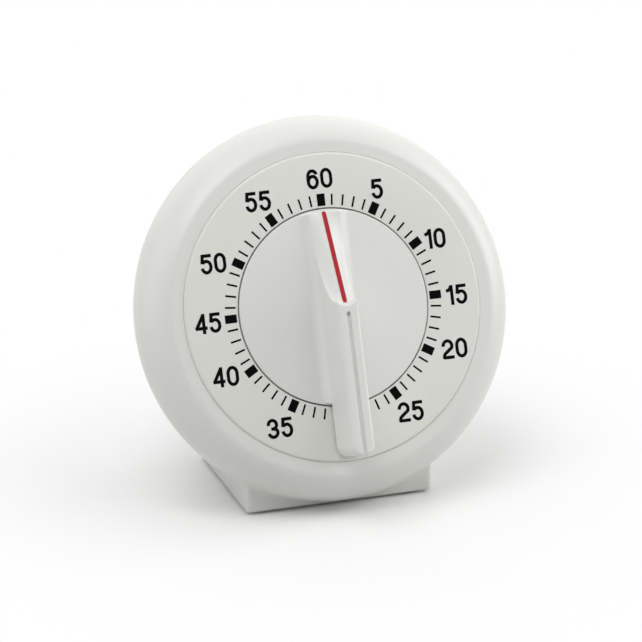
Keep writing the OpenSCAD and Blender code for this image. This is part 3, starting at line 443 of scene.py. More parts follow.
def empty_tree(owner: bpy.types.Material | bpy.types.World) -> Tree:
    """Turns on the nodes of a material or world and clears them.

    Args:
        owner: The material or world.

    Returns:
        Its empty tree.
    """
    owner.use_nodes = True
    owner.node_tree.nodes.clear()
    return owner.node_tree


def add_node(tree: Tree, kind: str, inputs: dict | None = None, **settings: object) -> Node:
    """Adds a node.

    Args:
        tree: Tree that it goes in.
        kind: Blender's name of the node, without ShaderNode.
        inputs: Value or linked output for each of its sockets, by name or number.
        settings: Its other settings.

    Returns:
        The node.
    """
    node = tree.nodes.new("ShaderNode" + kind)
    for name, value in settings.items():
        setattr(node, name, value)
    for key, value in (inputs or {}).items():
        if isinstance(value, Socket):
            tree.links.new(value, node.inputs[key])
        else:
            node.inputs[key].default_value = value
    return node


@dataclass(frozen=True)
class Finish:
    """What all finishes share: a name, a slot, two shades, and a material that is made once."""

    name: str
    slot: Slot
    colour: str
    shade: str
    made: ClassVar[dict[str, bpy.types.Material]] = {}

    def look(self, tree: Tree, where: Socket) -> dict[str, object]:
        """Returns the inputs of the shader; each finish has its own."""
        raise NotImplementedError

    def material(self) -> bpy.types.Material:
        """Makes the material, or finds it.

        Returns:
            The material.
        """
        if self.name not in self.made:
            material = bpy.data.materials.new(self.name)
            tree = empty_tree(material)
            place = add_node(tree, "TexCoord")
            shader = add_node(tree, "BsdfPrincipled", self.look(tree, place.outputs["Object"]))
            add_node(tree, "OutputMaterial", {"Surface": shader.outputs["BSDF"]})
            self.made[self.name] = material
        return self.made[self.name]

    def dress(self, thing: bpy.types.Object, body: str, *replaced: str) -> None:
        """Gives a new piece this finish and lets it ride on a body.

        Args:
            thing: The piece.
            body: Body that it moves with.
            replaced: Nodes of the frame that it stands for.
        """
        thing.data.materials.append(self.material())
        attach(thing, body)
        if replaced:
            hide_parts(*replaced)
        log.info("%s: %d faces, %s", thing.name, len(thing.data.polygons), self.name)


@dataclass(frozen=True)
class MouldedPlastic(Finish):
    """Glossy or satin ABS, injection moulded in a polished or lightly spark-eroded tool.

    The polish leaves a soft, broad highlight; slow flow of the melt leaves faint differences in shade and
    gloss, and the tool's skin leaves a fine grain.
    """

    roughness: float
    grain_mm: float
    grain_depth_mm: float
    specular: float = 0.5
    flow_mm: float = 28.0
    gloss_swing: float = 0.04

    def look(self, tree: Tree, where: Socket) -> dict[str, object]:
        """Lays out the plastic's patterns.

        Args:
            tree: Tree that the nodes go in.
            where: The texture coordinates, in metres.

        Returns:
            The inputs of the shader.
        """
        flow = add_node(tree, "TexNoise",
                        {"Vector": where, "Scale": per_mm(self.flow_mm), "Detail": 2.0, "Roughness": 0.45})
        tint = add_node(tree, "Mix",
                        {"Factor": flow.outputs["Fac"], "A": linear(self.colour), "B": linear(self.shade)},
                        data_type="RGBA")
        gloss = add_node(tree, "MapRange",
                         {"Value": flow.outputs["Fac"], "From Min": NOISE_LOW, "From Max": NOISE_HIGH,
                          "To Min": self.roughness - self.gloss_swing,
                          "To Max": self.roughness + self.gloss_swing})
        grain = add_node(tree, "TexNoise",
                         {"Vector": where, "Scale": per_mm(self.grain_mm), "Detail": 3.0, "Roughness": 0.6})
        bump = add_node(tree, "Bump", {"Height": grain.outputs["Fac"], "Strength": 1.0,
                                       "Distance": self.grain_depth_mm * MM})
        return {"Base Color": tint.outputs["Result"], "Roughness": gloss.outputs["Result"], "IOR": 1.54,
                "Specular IOR Level": self.specular, "Normal": bump.outputs["Normal"]}


@dataclass(frozen=True)
class PrintedInk(Finish):
    """Pad-printed ink: matt, dense, a little uneven where the pad lifted."""

    pinhole_mm: float = 0.35
    thickness_mm: float = 0.004
    pinhole_span: tuple[float, float] = (0.62, 0.85)

    def look(self, tree: Tree, where: Socket) -> dict[str, object]:
        """Lays out the ink's patterns.

        Args:
            tree: Tree that the nodes go in.
            where: The texture coordinates, in metres.

        Returns:
            The inputs of the shader.
        """
        pinholes = add_node(tree, "TexNoise",
                            {"Vector": where, "Scale": per_mm(self.pinhole_mm), "Detail": 2.0})
        thin = add_node(tree, "MapRange",
                        {"Value": pinholes.outputs["Fac"], "From Min": self.pinhole_span[0],
                         "From Max": self.pinhole_span[1]})
        tint = add_node(tree, "Mix",
                        {"Factor": thin.outputs["Result"], "A": linear(self.colour), "B": linear(self.shade)},
                        data_type="RGBA")
        bump = add_node(tree, "Bump", {"Height": pinholes.outputs["Fac"], "Strength": 0.6,
                                       "Distance": self.thickness_mm * MM})
        return {"Base Color": tint.outputs["Result"], "Roughness": 0.6, "IOR": 1.5,
                "Specular IOR Level": 0.03, "Normal": bump.outputs["Normal"]}


@dataclass(frozen=True)
class Rubber(Finish):
    """Moulded foot rubber: dull, dusty, with a coarse skin."""

    dust_mm: float = 3.0
    skin_mm: float = 0.4
    skin_depth_mm: float = 0.03

    def look(self, tree: Tree, where: Socket) -> dict[str, object]:
        """Lays out the rubber's patterns.

        Args:
            tree: Tree that the nodes go in.
            where: The texture coordinates, in metres.

        Returns:
            The inputs of the shader.
        """
        dust = add_node(tree, "TexNoise",
                        {"Vector": where, "Scale": per_mm(self.dust_mm), "Detail": 4.0})
        tint = add_node(tree, "Mix",
                        {"Factor": dust.outputs["Fac"], "A": linear(self.colour), "B": linear(self.shade)},
                        data_type="RGBA")
        skin = add_node(tree, "TexNoise",
                        {"Vector": where, "Scale": per_mm(self.skin_mm), "Detail": 2.0})
        bump = add_node(tree, "Bump", {"Height": skin.outputs["Fac"], "Strength": 1.0,
                                       "Distance": self.skin_depth_mm * MM})
        return {"Base Color": tint.outputs["Result"], "Roughness": 0.8, "IOR": 1.52,
                "Specular IOR Level": 0.3, "Normal": bump.outputs["Normal"]}


@dataclass(frozen=True)
class WorkedMetal(Finish):
    """Metal stock, turned, rolled or plated: fine lines along the work and a little tarnish."""

    roughness: float
    line_mm: float
    line_depth_mm: float
    along: Triple = (0.06, 1.0, 1.0)
    tarnish_mm: float = 9.0
    tarnish_span: tuple[float, float] = (0.45, 0.8)
    smoother: float = 0.06
    rougher: float = 0.08

    def look(self, tree: Tree, where: Socket) -> dict[str, object]:
        """Lays out the metal's patterns.

        Args:
            tree: Tree that the nodes go in.
            where: The texture coordinates, in metres.

        Returns:
            The inputs of the shader.
        """
        drawn_out = add_node(tree, "Mapping", {"Vector": where, "Scale": self.along})
        lines = add_node(tree, "TexNoise", {"Vector": drawn_out.outputs["Vector"],
                                            "Scale": per_mm(self.line_mm), "Detail": 3.0})
        cloud = add_node(tree, "TexNoise",
                         {"Vector": where, "Scale": per_mm(self.tarnish_mm), "Detail": 5.0})
        spots = add_node(tree, "MapRange",
                         {"Value": cloud.outputs["Fac"], "From Min": self.tarnish_span[0],
                          "From Max": self.tarnish_span[1]})
        tint = add_node(tree, "Mix",
                        {"Factor": spots.outputs["Result"], "A": linear(self.colour),
                         "B": linear(self.shade)}, data_type="RGBA")
        gloss = add_node(tree, "MapRange",
                         {"Value": lines.outputs["Fac"], "From Min": NOISE_LOW, "From Max": NOISE_HIGH,
                          "To Min": self.roughness - self.smoother, "To Max": self.roughness + self.rougher})
        bump = add_node(tree, "Bump", {"Height": lines.outputs["Fac"], "Strength": 1.0,
                                       "Distance": self.line_depth_mm * MM})
        return {"Base Color": tint.outputs["Result"], "Metallic": 1.0,
                "Roughness": gloss.outputs["Result"], "Normal": bump.outputs["Normal"]}


# The white of the case and knob is a neutral ABS with the faintest yellow-green cast.
CASE_WHITE = MouldedPlastic("moulded_abs_case", Slot.WHITE_PLASTIC, "#E8E9E4", "#E4E5DF", 0.34, 0.5, 0.0025)
KNOB_WHITE = MouldedPlastic("moulded_abs_knob", Slot.WHITE_PLASTIC, "#E9EAE6", "#E5E6E1", 0.38, 0.45, 0.003)
# The dial plate came from a spark-eroded tool, which gives it a fine satin grain.
DIAL_SATIN = MouldedPlastic("satin_abs_dial", Slot.DIAL_WHITE, "#E9E9E4", "#E4E4DE", 0.5, 0.4, 0.006)
# The pointer is a through-dyed red strip, duller than the white around it.
POINTER_RED = MouldedPlastic("moulded_abs_pointer", Slot.RED_PLASTIC, "#B41C2A", "#A61825", 0.42, 0.4, 0.003,
                             specular=0.25)
# The ink is matt and nearly black, and a little lighter where it is thin.
DIAL_INK = PrintedInk("pad_printed_black_ink", Slot.DIAL_WHITE, "#070707", "#121211")
# The feet look dull, with a dusty skin.
FOOT_RUBBER = Rubber("moulded_grey_rubber", Slot.FOOT_RUBBER, "#2E2C2A", "#3B3835")
# Bare rolled brass is a warm yellow with brown spots.
ROLLED_BRASS = WorkedMetal("rolled_brass", Slot.PLATE_BRASS, "#D9B262", "#B08A45", 0.3, 0.25, 0.003)
# Turned steel shines in close rings; pressed sheet is duller, and heat has blued the springs.
TURNED_STEEL = WorkedMetal("turned_steel", Slot.ARBOR_STEEL, "#B9BCBE", "#9A9B9A", 0.24, 0.12, 0.002)
SHEET_STEEL = WorkedMetal("pressed_sheet_steel", Slot.SHEET_STEEL, "#A9ACAE", "#8D8E8D", 0.34, 0.3, 0.003)
SPRING_STEEL = WorkedMetal("blued_spring_steel", Slot.SPRING_STEEL, "#59616C", "#474A50", 0.28, 0.2, 0.002)
# Zinc plating is pale and even; nickel plating is warmer and mirrors more.
ZINC_PLATE = WorkedMetal("zinc_plated_steel", Slot.PLATED_STEEL, "#C4C7C8", "#A7A9A6", 0.3, 0.2, 0.003)
NICKEL_PLATE = WorkedMetal("nickel_plated_steel", Slot.NICKEL, "#CFCBC2", "#B5B0A5", 0.16, 0.5, 0.002)


# The object


@dataclass
class CaseForm:
    """The case's outside, which both halves and the foot block share."""

    dial: DialFrame
    bezel_r: float = 12.0
    bezel_at: tuple[float, float] = (39.2, -11.4)
    back_r: float = 7.0
    back_at: tuple[float, float] = (37.751, -30.0)
    taper: float = 20.0
    wall: float = 2.2
    split: float = -27.0
    seam: float = 0.25

    def side(self, height: float, inset: float = 0.0) -> float:
        """Radius of the tapered side.

        Args:
            height: Height on the dial's axis.
            inset: How far the side is drawn in.

        Returns:
            The radius at that height.
        """
        a = math.radians(self.taper)
        drop = height - self.bezel_at[1]
        return self.bezel_at[0] + (self.bezel_r - inset + drop * math.sin(a)) / math.cos(a)

    def seam_edge(self, start: Array) -> Array:
        """Returns the line from a point outside over the parting line's softened edge to the inside."""
        return softened([tuple(start) + (0,), (self.side(self.split), self.split, self.seam),
                         (self.side(self.split, self.wall), self.split, 0)], closed=False)

    def distance(self, points: Array) -> Array:
        """Distance of points from the case's outside.

        The outside is a capsule turned about the dial's axis, whose two ends have different radii.

        Args:
            points: World points in millimetres, one row each.

        Returns:
            One number per point, below 0 inside.
        """
        local = self.dial.local(points)
        radius, height = np.hypot(local[:, 0], local[:, 1]), local[:, 2]
        line = np.array(self.back_at) - np.array(self.bezel_at)
        length = np.linalg.norm(line)
        out, up = radius - self.bezel_at[0], height - self.bezel_at[1]
        along = (out * line[0] + up * line[1]) / length
        across = np.abs(out * line[1] - up * line[0]) / length
        low = (self.bezel_r - self.back_r) / length
        high = math.sqrt(1 - low * low)
        where = high * along - low * across
        capsule = np.where(where < 0, np.hypot(across, along) - self.bezel_r,
                           np.where(where > high * length, np.hypot(across, along - length) - self.back_r,
                                    high * across + low * along - self.bezel_r))
        core = np.maximum(radius - self.back_at[0], np.maximum(self.back_at[1] - self.back_r - height,
                                                               height - self.bezel_at[1] - self.bezel_r))
        return np.minimum(capsule, core)


@dataclass
class FrontCase:
    """Front half of the case: the round bezel with the recess for the dial."""

    form: CaseForm
    recess_r: float = 40.95
    seat: float = -2.0
    seat_back: float = -4.4
    well_r: float = 24.8
    well_floor: float = -4.6
    bore_r: float = 5.4
    land: float = -0.6
    land_fillet: float = 3.4
    land_turn: float = 7.0
    land_step: float = 3.0
    bezel_step: float = 1.5
    inner_end: float = 60.0

    def profile(self) -> Array:
        """Half section of the moulding, from the dial's recess round the outside and back to the well.

        Returns:
            Radius and height of each point.
        """
        form = self.form
        meet = math.degrees(math.asin((self.land - form.bezel_at[1]) / form.bezel_r))
        bezel = arc(form.bezel_at, (form.bezel_r,) * 2, meet - self.land_turn, -form.taper,
                    self.bezel_step)
        corner = (form.bezel_at[0] + form.bezel_r * math.cos(math.radians(meet)), self.land)
        land = softened([(self.recess_r, self.land, 0), corner + (self.land_fillet,), tuple(bezel[0]) + (0,)],
                        closed=False, step=self.land_step)
        seam = form.seam_edge(bezel[-1])
        inner = arc(form.bezel_at, (form.bezel_r - form.wall,) * 2, -form.taper, self.inner_end)
        inner = inner[inner[:, 1] < self.seat_back]
        well = self.well_floor - form.wall
        outer_r = self.well_r + form.wall
        tail = [(outer_r, self.seat_back), (outer_r, well), (self.bore_r, well),
                (self.bore_r, self.well_floor), (self.well_r, self.well_floor), (self.well_r, self.seat),
                (self.recess_r, self.seat)]
        return np.vstack((land[:-1], bezel[:-1], seam, inner, [(float(inner[-1][0]), self.seat_back)], tail))

    def build(self) -> None:
        """Makes the moulding."""
        mesh = MeshBuilder().lathe(self.profile(), ROUND_SEGMENTS)
        CASE_WHITE.dress(mesh.object("front_case_bezel", self.form.dial.matrix), "case", "front_case")


@dataclass
class RearCase:
    """Rear half of the case: the tapered side, the flat back with its sound slots and the screw pockets."""

    form: CaseForm
    slot_count: int = 7
    slot_pitch: float = 5.0
    slot_w: float = 2.0
    slot_field_r: float = 18.0
    slot_step: float = 15.0
    edge_r: float = 0.3
    edge_rows: int = 6
    side_step: float = 3.0
    screw_circle_r: float = 34.0
    screw_angle: float = 25.0
    pocket_r: float = 3.0
    pocket_floor: float = -31.0
    pocket_step: float = 7.5

    @property
    def back(self) -> float:
        """Height of the flat back."""
        return self.form.back_at[1] - self.form.back_r

    def profile(self) -> Array:
        """Half section of the side, from the flat back's rim round the outside and back inside.

        Returns:
            Radius and height of each point.
        """
        form = self.form
        outer = arc(form.back_at, (form.back_r,) * 2, -90, -form.taper, self.side_step)
        inner = arc(form.back_at, (form.back_r - form.wall,) * 2, -form.taper, -90)
        return np.vstack((outer[:-1], form.seam_edge(outer[-1]), inner))

    def slot(self, x: float, grow: float) -> Array:
        """Outline of one sound slot.

        Args:
            x: Where its middle line lies, to the dial's right.
            grow: How far the outline is moved outwards.

        Returns:
            One row per point.
        """
        half = math.sqrt(self.slot_field_r ** 2 - x * x) - self.slot_w / 2
        r = self.slot_w / 2 + grow
        return np.vstack([arc((x, way * half), (r, r), start, start + 180, self.slot_step)
                          for way, start in ((1, 0), (-1, 180))])

    def pocket(self, angle: float, radius: float) -> Array:
        """Outline of a round hole on the screws' circle.

        Args:
            angle: Where it lies, in degrees.
            radius: Its radius.

        Returns:
            One row per point.
        """
        a = math.radians(angle)
        centre = (self.screw_circle_r * math.cos(a), self.screw_circle_r * math.sin(a))
        return arc(centre, (radius, radius), 0, 360 - self.pocket_step, self.pocket_step)

    def edge(self, mesh: MeshBuilder, outline: Callable[[float], Array], end: float) -> Array:
        """Adds the rounded edge and the wall of a hole in the back.

        Args:
            mesh: Where the faces go.
            outline: Gives the hole's outline, grown by a distance.
            end: Height at which the wall ends.

        Returns:
            The outline outside.
        """
        rows = [raised(outline(self.edge_r * (1 - math.sin(turn))),
                       self.back + self.edge_r * (1 - math.cos(turn)))
                for turn in np.radians(np.linspace(0, 90, self.edge_rows))]
        mesh.grid(np.array(rows + [raised(outline(0.0), end)]), wrap_columns=True)
        return outline(self.edge_r)

    def build(self) -> None:
        """Makes the moulding."""
        form = self.form
        mesh = MeshBuilder().lathe(self.profile(), ROUND_SEGMENTS, closed=False)
        angles = np.arange(ROUND_SEGMENTS) * 2 * math.pi / ROUND_SEGMENTS
        rim = form.back_at[0] * np.column_stack((np.cos(angles), np.sin(angles)))
        outside, inside = [rim], [rim]
        for i in range(self.slot_count):
            x = (i - (self.slot_count - 1) / 2) * self.slot_pitch
            outside.append(self.edge(mesh, lambda grow, x=x: self.slot(x, grow), self.back + form.wall))
            inside.append(self.slot(x, 0.0))
        turn = self.screw_angle
        for angle in (turn, 180 - turn, 180 + turn, 360 - turn):
            outside.append(self.edge(mesh, lambda grow, a=angle: self.pocket(a, self.pocket_r + grow),
                                     self.pocket_floor))
            mesh.sheet([self.pocket(angle, self.pocket_r)], self.pocket_floor)
        mesh.sheet(outside, self.back)
        mesh.sheet(inside, self.back + form.wall)
        CASE_WHITE.dress(mesh.object("rear_case_back", form.dial.matrix), "case", "rear_case")


@dataclass
class FootBlock:
    """The square foot under the case, in two halves that run into the case with a fillet."""

    form: CaseForm
    width: float = 52.0
    front: float = -16.7853
    back: float = 25.2147
    floor: float = 0.8
    back_height: float = 6.0
    top: float = 19.0
    plan_r: float = 1.2
    edge_r: float = 0.5
    fillet_r: float = 1.1
    sink: float = 0.01
    skirt: float = 0.3
    root: float = 1.2
    joint_gap: float = 0.03
    joint_r: float = 0.25
    low_room: Triple = (3.0, 3.0, 1.0)
    high_room: Triple = (3.0, 2.0, 1.0)
    step: float = 0.5

    def block(self, points: Array) -> Array:
        """Distance of points from the plain block.

        Args:
            points: World points in millimetres, one row each.

        Returns:
            One number per point, below 0 inside.
        """
        x, y, z = np.abs(points[:, 0]), points[:, 1], points[:, 2]
        middle, half = (self.front + self.back) / 2, (self.back - self.front) / 2
        plan = round_max(x - self.width / 2, np.abs(y - middle) - half, self.plan_r)
        slope = (y - self.back + z - self.back_height) / math.sqrt(2)
        solid = round_max(round_max(plan, slope, self.edge_r), self.floor - z, self.edge_r)
        return np.maximum(solid, z - self.top)

    def half(self, rear: bool) -> Field:
        """Makes the distance field of the rear or the front half.

        Args:
            rear: True for the rear half.

        Returns:
            Its distance field.
        """
        way = 1.0 if rear else -1.0

        def distance(points: Array) -> Array:
            """Distance of points from this half of the foot.

            Args:
                points: World points in millimetres, one row each.

            Returns:
                One number per point, below 0 inside.
            """
            case = self.form.distance(points)
            block = self.block(points)
            solid = round_min(block, case + self.sink, self.fillet_r)
            solid = np.maximum(np.maximum(solid, block - self.fillet_r - self.skirt), -case - self.root)
            height = self.form.dial.local(points)[:, 2]
            return round_max(solid, way * (height - self.form.split) + self.joint_gap, self.joint_r)

        return distance

    def build(self) -> None:
        """Makes both halves."""
        corners = (-self.width / 2, self.front, self.floor), (self.width / 2, self.back, self.top)
        low = tuple(place - room for place, room in zip(corners[0], self.low_room))
        high = tuple(place + room for place, room in zip(corners[1], self.high_room))
        for name, rear in (("front_case_foot", False), ("rear_case_foot", True)):
            mesh = MeshBuilder()
            mesh.add(*FieldMesher(self.half(rear), low, high, self.step).build())
            CASE_WHITE.dress(mesh.object(name, Matrix.Scale(MM, 4), sharp=50), "case",
                             "rear_case" if rear else "front_case")


@dataclass
class DialPlate:
    """The dial plate and the minutes printed on it."""

    dial: DialFrame
    radius: float = 40.9
    hole_r: float = 26.3
    thickness: float = 2.0
    edge_r: float = 0.8
    hole_edge_r: float = 0.12
    ink: float = 0.03
    tick_inner: float = 26.9
    tick_outer: float = 29.8
    block_inner: float = 26.75
    block_outer: float = 30.0
    tick_w: float = 0.5
    block_w: float = 2.2
    numbers: tuple[tuple[str, float, float], ...] = (
        ("60", 0.25, 34.0), ("5", 15.7, 29.6), ("10", 30.2, 14.8), ("15", 34.35, -0.65), ("20", 32.0, -14.8),
        ("25", 17.8, -29.9), ("30", 0.0, -34.7), ("35", -18.6, -29.9), ("40", -31.6, -14.8),
        ("45", -34.7, -0.4), ("50", -31.4, 15.0), ("55", -17.3, 29.8))

    def build(self) -> None:
        """Makes the plate, the ticks and the numbers."""
        section = softened([(self.hole_r, -self.thickness, 0), (self.radius, -self.thickness, 0),
                            (self.radius, 0, self.edge_r), (self.hole_r, 0, self.hole_edge_r)])
        mesh = MeshBuilder().lathe(section, ROUND_SEGMENTS)
        DIAL_SATIN.dress(mesh.object("dial_disc", self.dial.matrix), "case", "dial_plate")
        DIAL_INK.dress(self.ticks().object("minute_ticks", self.dial.matrix), "case")
        for text, x, y in self.numbers:
            mesh = MeshBuilder()
            Numeral().write(mesh, text, x, y, self.ink)
            DIAL_INK.dress(mesh.object("minutes_" + text, self.dial.matrix), "case")

    def ticks(self) -> MeshBuilder:
        """Draws the sixty minute marks.

        Returns:
            Their faces, in the dial's frame.
        """
        mesh = MeshBuilder()
        for minute in range(60):
            a = math.radians(90 - 6 * minute)
            way = np.array((math.cos(a), math.sin(a)))
            bold = minute % 5 == 0
            inner, outer, width = (self.block_inner, self.block_outer, self.block_w) if bold \
                else (self.tick_inner, self.tick_outer, self.tick_w)
            mesh.ribbon(np.array((inner * way, outer * way)), width, -self.ink, self.ink)
        return mesh


@dataclass
class Numeral:
    """Narrow upright numerals of even stroke.

    Each later stroke of a digit stands a layer above the one before, so no two tops lie in one plane.
    """

    width: float = 3.3
    height: float = 5.3
    stroke: float = 0.88
    gap: float = 0.5
    one_w: float = 2.0
    layer: float = 0.004

    def strokes(self, digit: str) -> list[tuple[Array, bool]]:
        """Middle lines of one digit's strokes.

        Args:
            digit: From 0 to 6.

        Returns:
            Each stroke's points, and whether it closes on itself.
        """
        s = self.stroke / 2
        left, low, high = s, s, self.height - s
        mid, wide = self.width / 2, self.width / 2 - s

        def bow(y: float, tall: float, start: float, end: float, x: float = mid, half: float = wide) -> Array:
            """Returns an arc round a point of the digit."""
            return arc((x, y), (half, tall), start, end, 12)

        if digit == "0":
            return [(np.vstack((bow(high - 1.5, 1.5, 0, 180), bow(low + 1.5, 1.5, 180, 360))), True)]
        if digit == "1":
            stem = self.one_w - s
            flag = np.vstack(([(0.05, 3.85)], bow(self.height + 0.02, 1.42, 270, 350, 0.25, stem - 0.35)))
            return [(np.array(((stem, 0), (stem, self.height))), False), (flag, False)]
        if digit == "2":
            head = bow(high - 1.3, 1.3, 185, -28)
            foot = softened([tuple(head[-1]) + (0,), (left + 0.12, low + 0.85, 0.9), (left, low, 0.1),
                             (self.width, low, 0)], closed=False)
            return [(np.vstack((head[:-1], foot)), False)]
        if digit == "3":
            upper = bow(high - 1.12, 1.12, 190, -90, mid - 0.05, wide - 0.1)
            lower = bow(low + 1.3, high - low - 2.24 - 1.3, 90, 0)
            tail = bow(low + 1.3, 1.3, 0, -170)
            upper = np.vstack((upper, [(mid - 0.5, high - 2.24)]))
            return [(upper, False), (np.vstack((lower, tail[1:])), False)]
        if digit == "4":
            stem = self.width - 0.5 - s
            bar = 1.5
            return [(np.array(((stem, 0), (stem, self.height))), False),
                    (np.array(((0, bar), (self.width, bar))), False),
                    (np.array(((0.28, bar - 0.1), (stem, self.height - 0.35))), False)]
        if digit == "5":
            bowl = bow(low + 1.5, 1.5, -170, 140)
            stem = np.array(((left + 0.12, low + 2.35), (left + 0.35, high), (self.width - 0.15, high)))
            return [(bowl, False), (stem, False)]
        bowl = bow(low + 1.48, 1.48, 0, 354)
        neck = bow(high - 1.5, 1.5, 18, 180)
        return [(bowl, True), (np.vstack((neck, [(left, low + 1.4)])), False)]

    def advance(self, digit: str) -> float:
        """Returns the width that a digit takes."""
        return self.one_w if digit == "1" else self.width

    def write(self, mesh: MeshBuilder, text: str, x: float, y: float, ink: float) -> None:
        """Writes a number on the dial.

        Args:
            mesh: Where the faces go.
            text: Its digits.
            x: Its middle, to the dial's right.
            y: Its middle, up the dial.
            ink: How far the ink stands above the dial.
        """
        total = sum(map(self.advance, text)) + self.gap * (len(text) - 1)
        pen = np.array((x - total / 2, y - self.height / 2))
        for digit in text:
            for i, (path, closed) in enumerate(self.strokes(digit)):
                mesh.ribbon(path + pen, self.stroke, -ink, ink + self.layer * i, closed)
            pen = pen + np.array((self.advance(digit) + self.gap, 0))


@dataclass
class Knob:
    """The winding knob: a disc with a grip fin, a sloping nose and the red pointer."""

    dial: DialFrame
    disc_r: float = 25.9
    disc_top: float = 0.3
    disc_bottom: float = -1.6
    disc_edge_r: float = 0.25
    back_edge_r: float = 0.2
    hub_r: float = 4.6
    hub_back: float = -5.4
    fin_top: float = 12.5
    fin_len: float = 39.5
    fin_half: float = 2.9
    fin_edge_r: float = 0.75
    fin_end_r: float = 2.6
    flank: float = 0.092
    flare: float = 0.02
    foot_r: float = 2.5
    sink: float = 0.01
    skirt: float = 0.2
    rim_room: float = 0.1
    root: float = -0.6
    clear: float = 0.8
    clear_edge_r: float = 0.25
    groove_half: float = 0.55
    groove_depth: float = 0.7
    groove_start: float = -2.2
    groove_edge_r: float = 0.15
    dimple_r: float = 0.55
    dimple_depth: float = 1.2
    nose_start: float = 0.8
    nose_end: float = 25.3
    nose_edge_r: float = 0.35
    edge_run: float = 3.0
    ridge_high: float = 10.6
    ridge_low: float = 0.9
    rim_low: float = 1.6
    rim_sweep: float = 5.4
    rim_rise: float = 6.0
    rim_decay: float = 3.0
    crown_slope: float = 0.85
    tip_r: float = 0.5
    lip_at: float = 0.6
    lip_bow: float = 1.3
    lip_slope: float = 0.8
    lip_r: float = 0.3
    lip_fillet: float = 0.2
    pointer_half: float = 0.6
    pointer_root: float = 0.5
    pointer_proud: float = 0.1
    pointer_edge_r: float = 0.08
    pointer_rows: int = 40
    pointer_gaps: tuple[float, float] = (0.05, 0.1)
    pointer_end: float = 0.75
    pointer_run: float = 0.4
    low_room: Triple = (9.0, 1.0, 1.0)
    high_room: Triple = (9.0, 1.5, 1.0)
    step: float = 0.25

    def ridge(self, v: Array) -> Array:
        """Returns the height of the nose's middle line at a distance from the knob's centre."""
        slope = (self.ridge_high - self.ridge_low) / (self.nose_end - self.nose_start)
        return self.ridge_high - (v - self.nose_start) * slope

    def rim(self, v: Array) -> Array:
        """Returns the height of the nose's two side edges, which sweep down from the fin's top to the tip."""
        left = 1 - v / (self.nose_end + 1)
        return self.rim_low + self.rim_sweep * left ** 2 + self.rim_rise * np.exp(-v / self.rim_decay)

    def top(self, x: Array, v: Array, h: Array, half: Array) -> Array:
        """Distance of points from the space under the fin's flat top and the nose's crowned one.

        Args:
            x: How far each point lies from the middle line.
            v: Its place up the dial.
            h: Its height.
            half: Half width of the top there.

        Returns:
            One number per point, below 0 under both.
        """
        up = np.clip(v, self.nose_start, self.nose_end)
        rim, ridge = self.rim(up), self.ridge(up)
        rim_half = half + (self.fin_top - rim) * self.flank
        wave = 0.5 * (1 + np.cos(math.pi * np.minimum(x / rim_half, 1)))
        crown = (h - rim - (ridge - rim) * wave) * self.crown_slope
        lip = v - self.nose_start + self.lip_at - self.lip_bow * (x / self.fin_half) ** 2
        fin = round_max(h - self.fin_top, lip * self.lip_slope, self.lip_r)
        return round_min(fin, round_max(crown, v - self.nose_end, self.tip_r), self.lip_fillet)

    def surface(self, points: Array) -> Array:
        """Distance of points from the grip, whose foot runs into the disc with a fillet.

        Args:
            points: One row per point, in the dial's frame.

        Returns:
            One number per point, below 0 inside.
        """
        x, v, h = np.abs(points[:, 0]), points[:, 1], points[:, 2]
        radius = np.hypot(x, v)
        half = self.fin_half + self.flare * np.maximum(v, 0)
        side = (x - half - (self.fin_top - h) * self.flank) / math.hypot(1, self.flank)
        side = round_max(side, -self.fin_len - v, self.fin_end_r)
        foot = round_min(side, h - self.disc_top + self.sink, self.foot_r)
        foot = np.maximum(foot, side - self.foot_r - self.skirt)
        rim = radius - self.disc_r + self.disc_edge_r + self.rim_room
        on_disc = np.maximum(foot, np.maximum(rim, self.root - h))
        past_disc = round_max(side, self.clear - h, self.clear_edge_r)
        edge = self.nose_edge_r + (self.fin_edge_r - self.nose_edge_r) * np.clip(-v / self.edge_run, 0, 1)
        solid = round_max(np.minimum(on_disc, past_disc), self.top(x, v, h, half), edge)
        groove = np.maximum(x - self.groove_half, np.maximum(self.fin_top - self.groove_depth - h,
                                                             v - self.groove_start))
        dimple = np.maximum(np.hypot(x, v - self.groove_start) - self.dimple_r,
                            self.fin_top - self.dimple_depth - h)
        return round_max(solid, -np.minimum(groove, dimple), self.groove_edge_r)

    def build(self) -> None:
        """Makes the disc, the grip and the pointer."""
        section = softened([(0, self.hub_back, 0), (self.hub_r, self.hub_back, self.back_edge_r),
                            (self.hub_r, self.disc_bottom, 0),
                            (self.disc_r, self.disc_bottom, self.back_edge_r),
                            (self.disc_r, self.disc_top, self.disc_edge_r),
                            (0, self.disc_top, 0)], closed=False)
        mesh = MeshBuilder().lathe(section, ROUND_SEGMENTS, closed=False)
        KNOB_WHITE.dress(mesh.object("knob_disc", self.dial.matrix), "knob_and_arbor", "knob")
        mesh = MeshBuilder()
        low = (-self.low_room[0], -self.fin_len - self.low_room[1], -self.low_room[2])
        high = (self.high_room[0], self.nose_end + self.high_room[1], self.fin_top + self.high_room[2])
        mesh.add(*FieldMesher(self.surface, low, high, self.step).build())
        KNOB_WHITE.dress(mesh.object("knob_grip", self.dial.matrix, sharp=60), "knob_and_arbor", "knob")
        self.pointer()

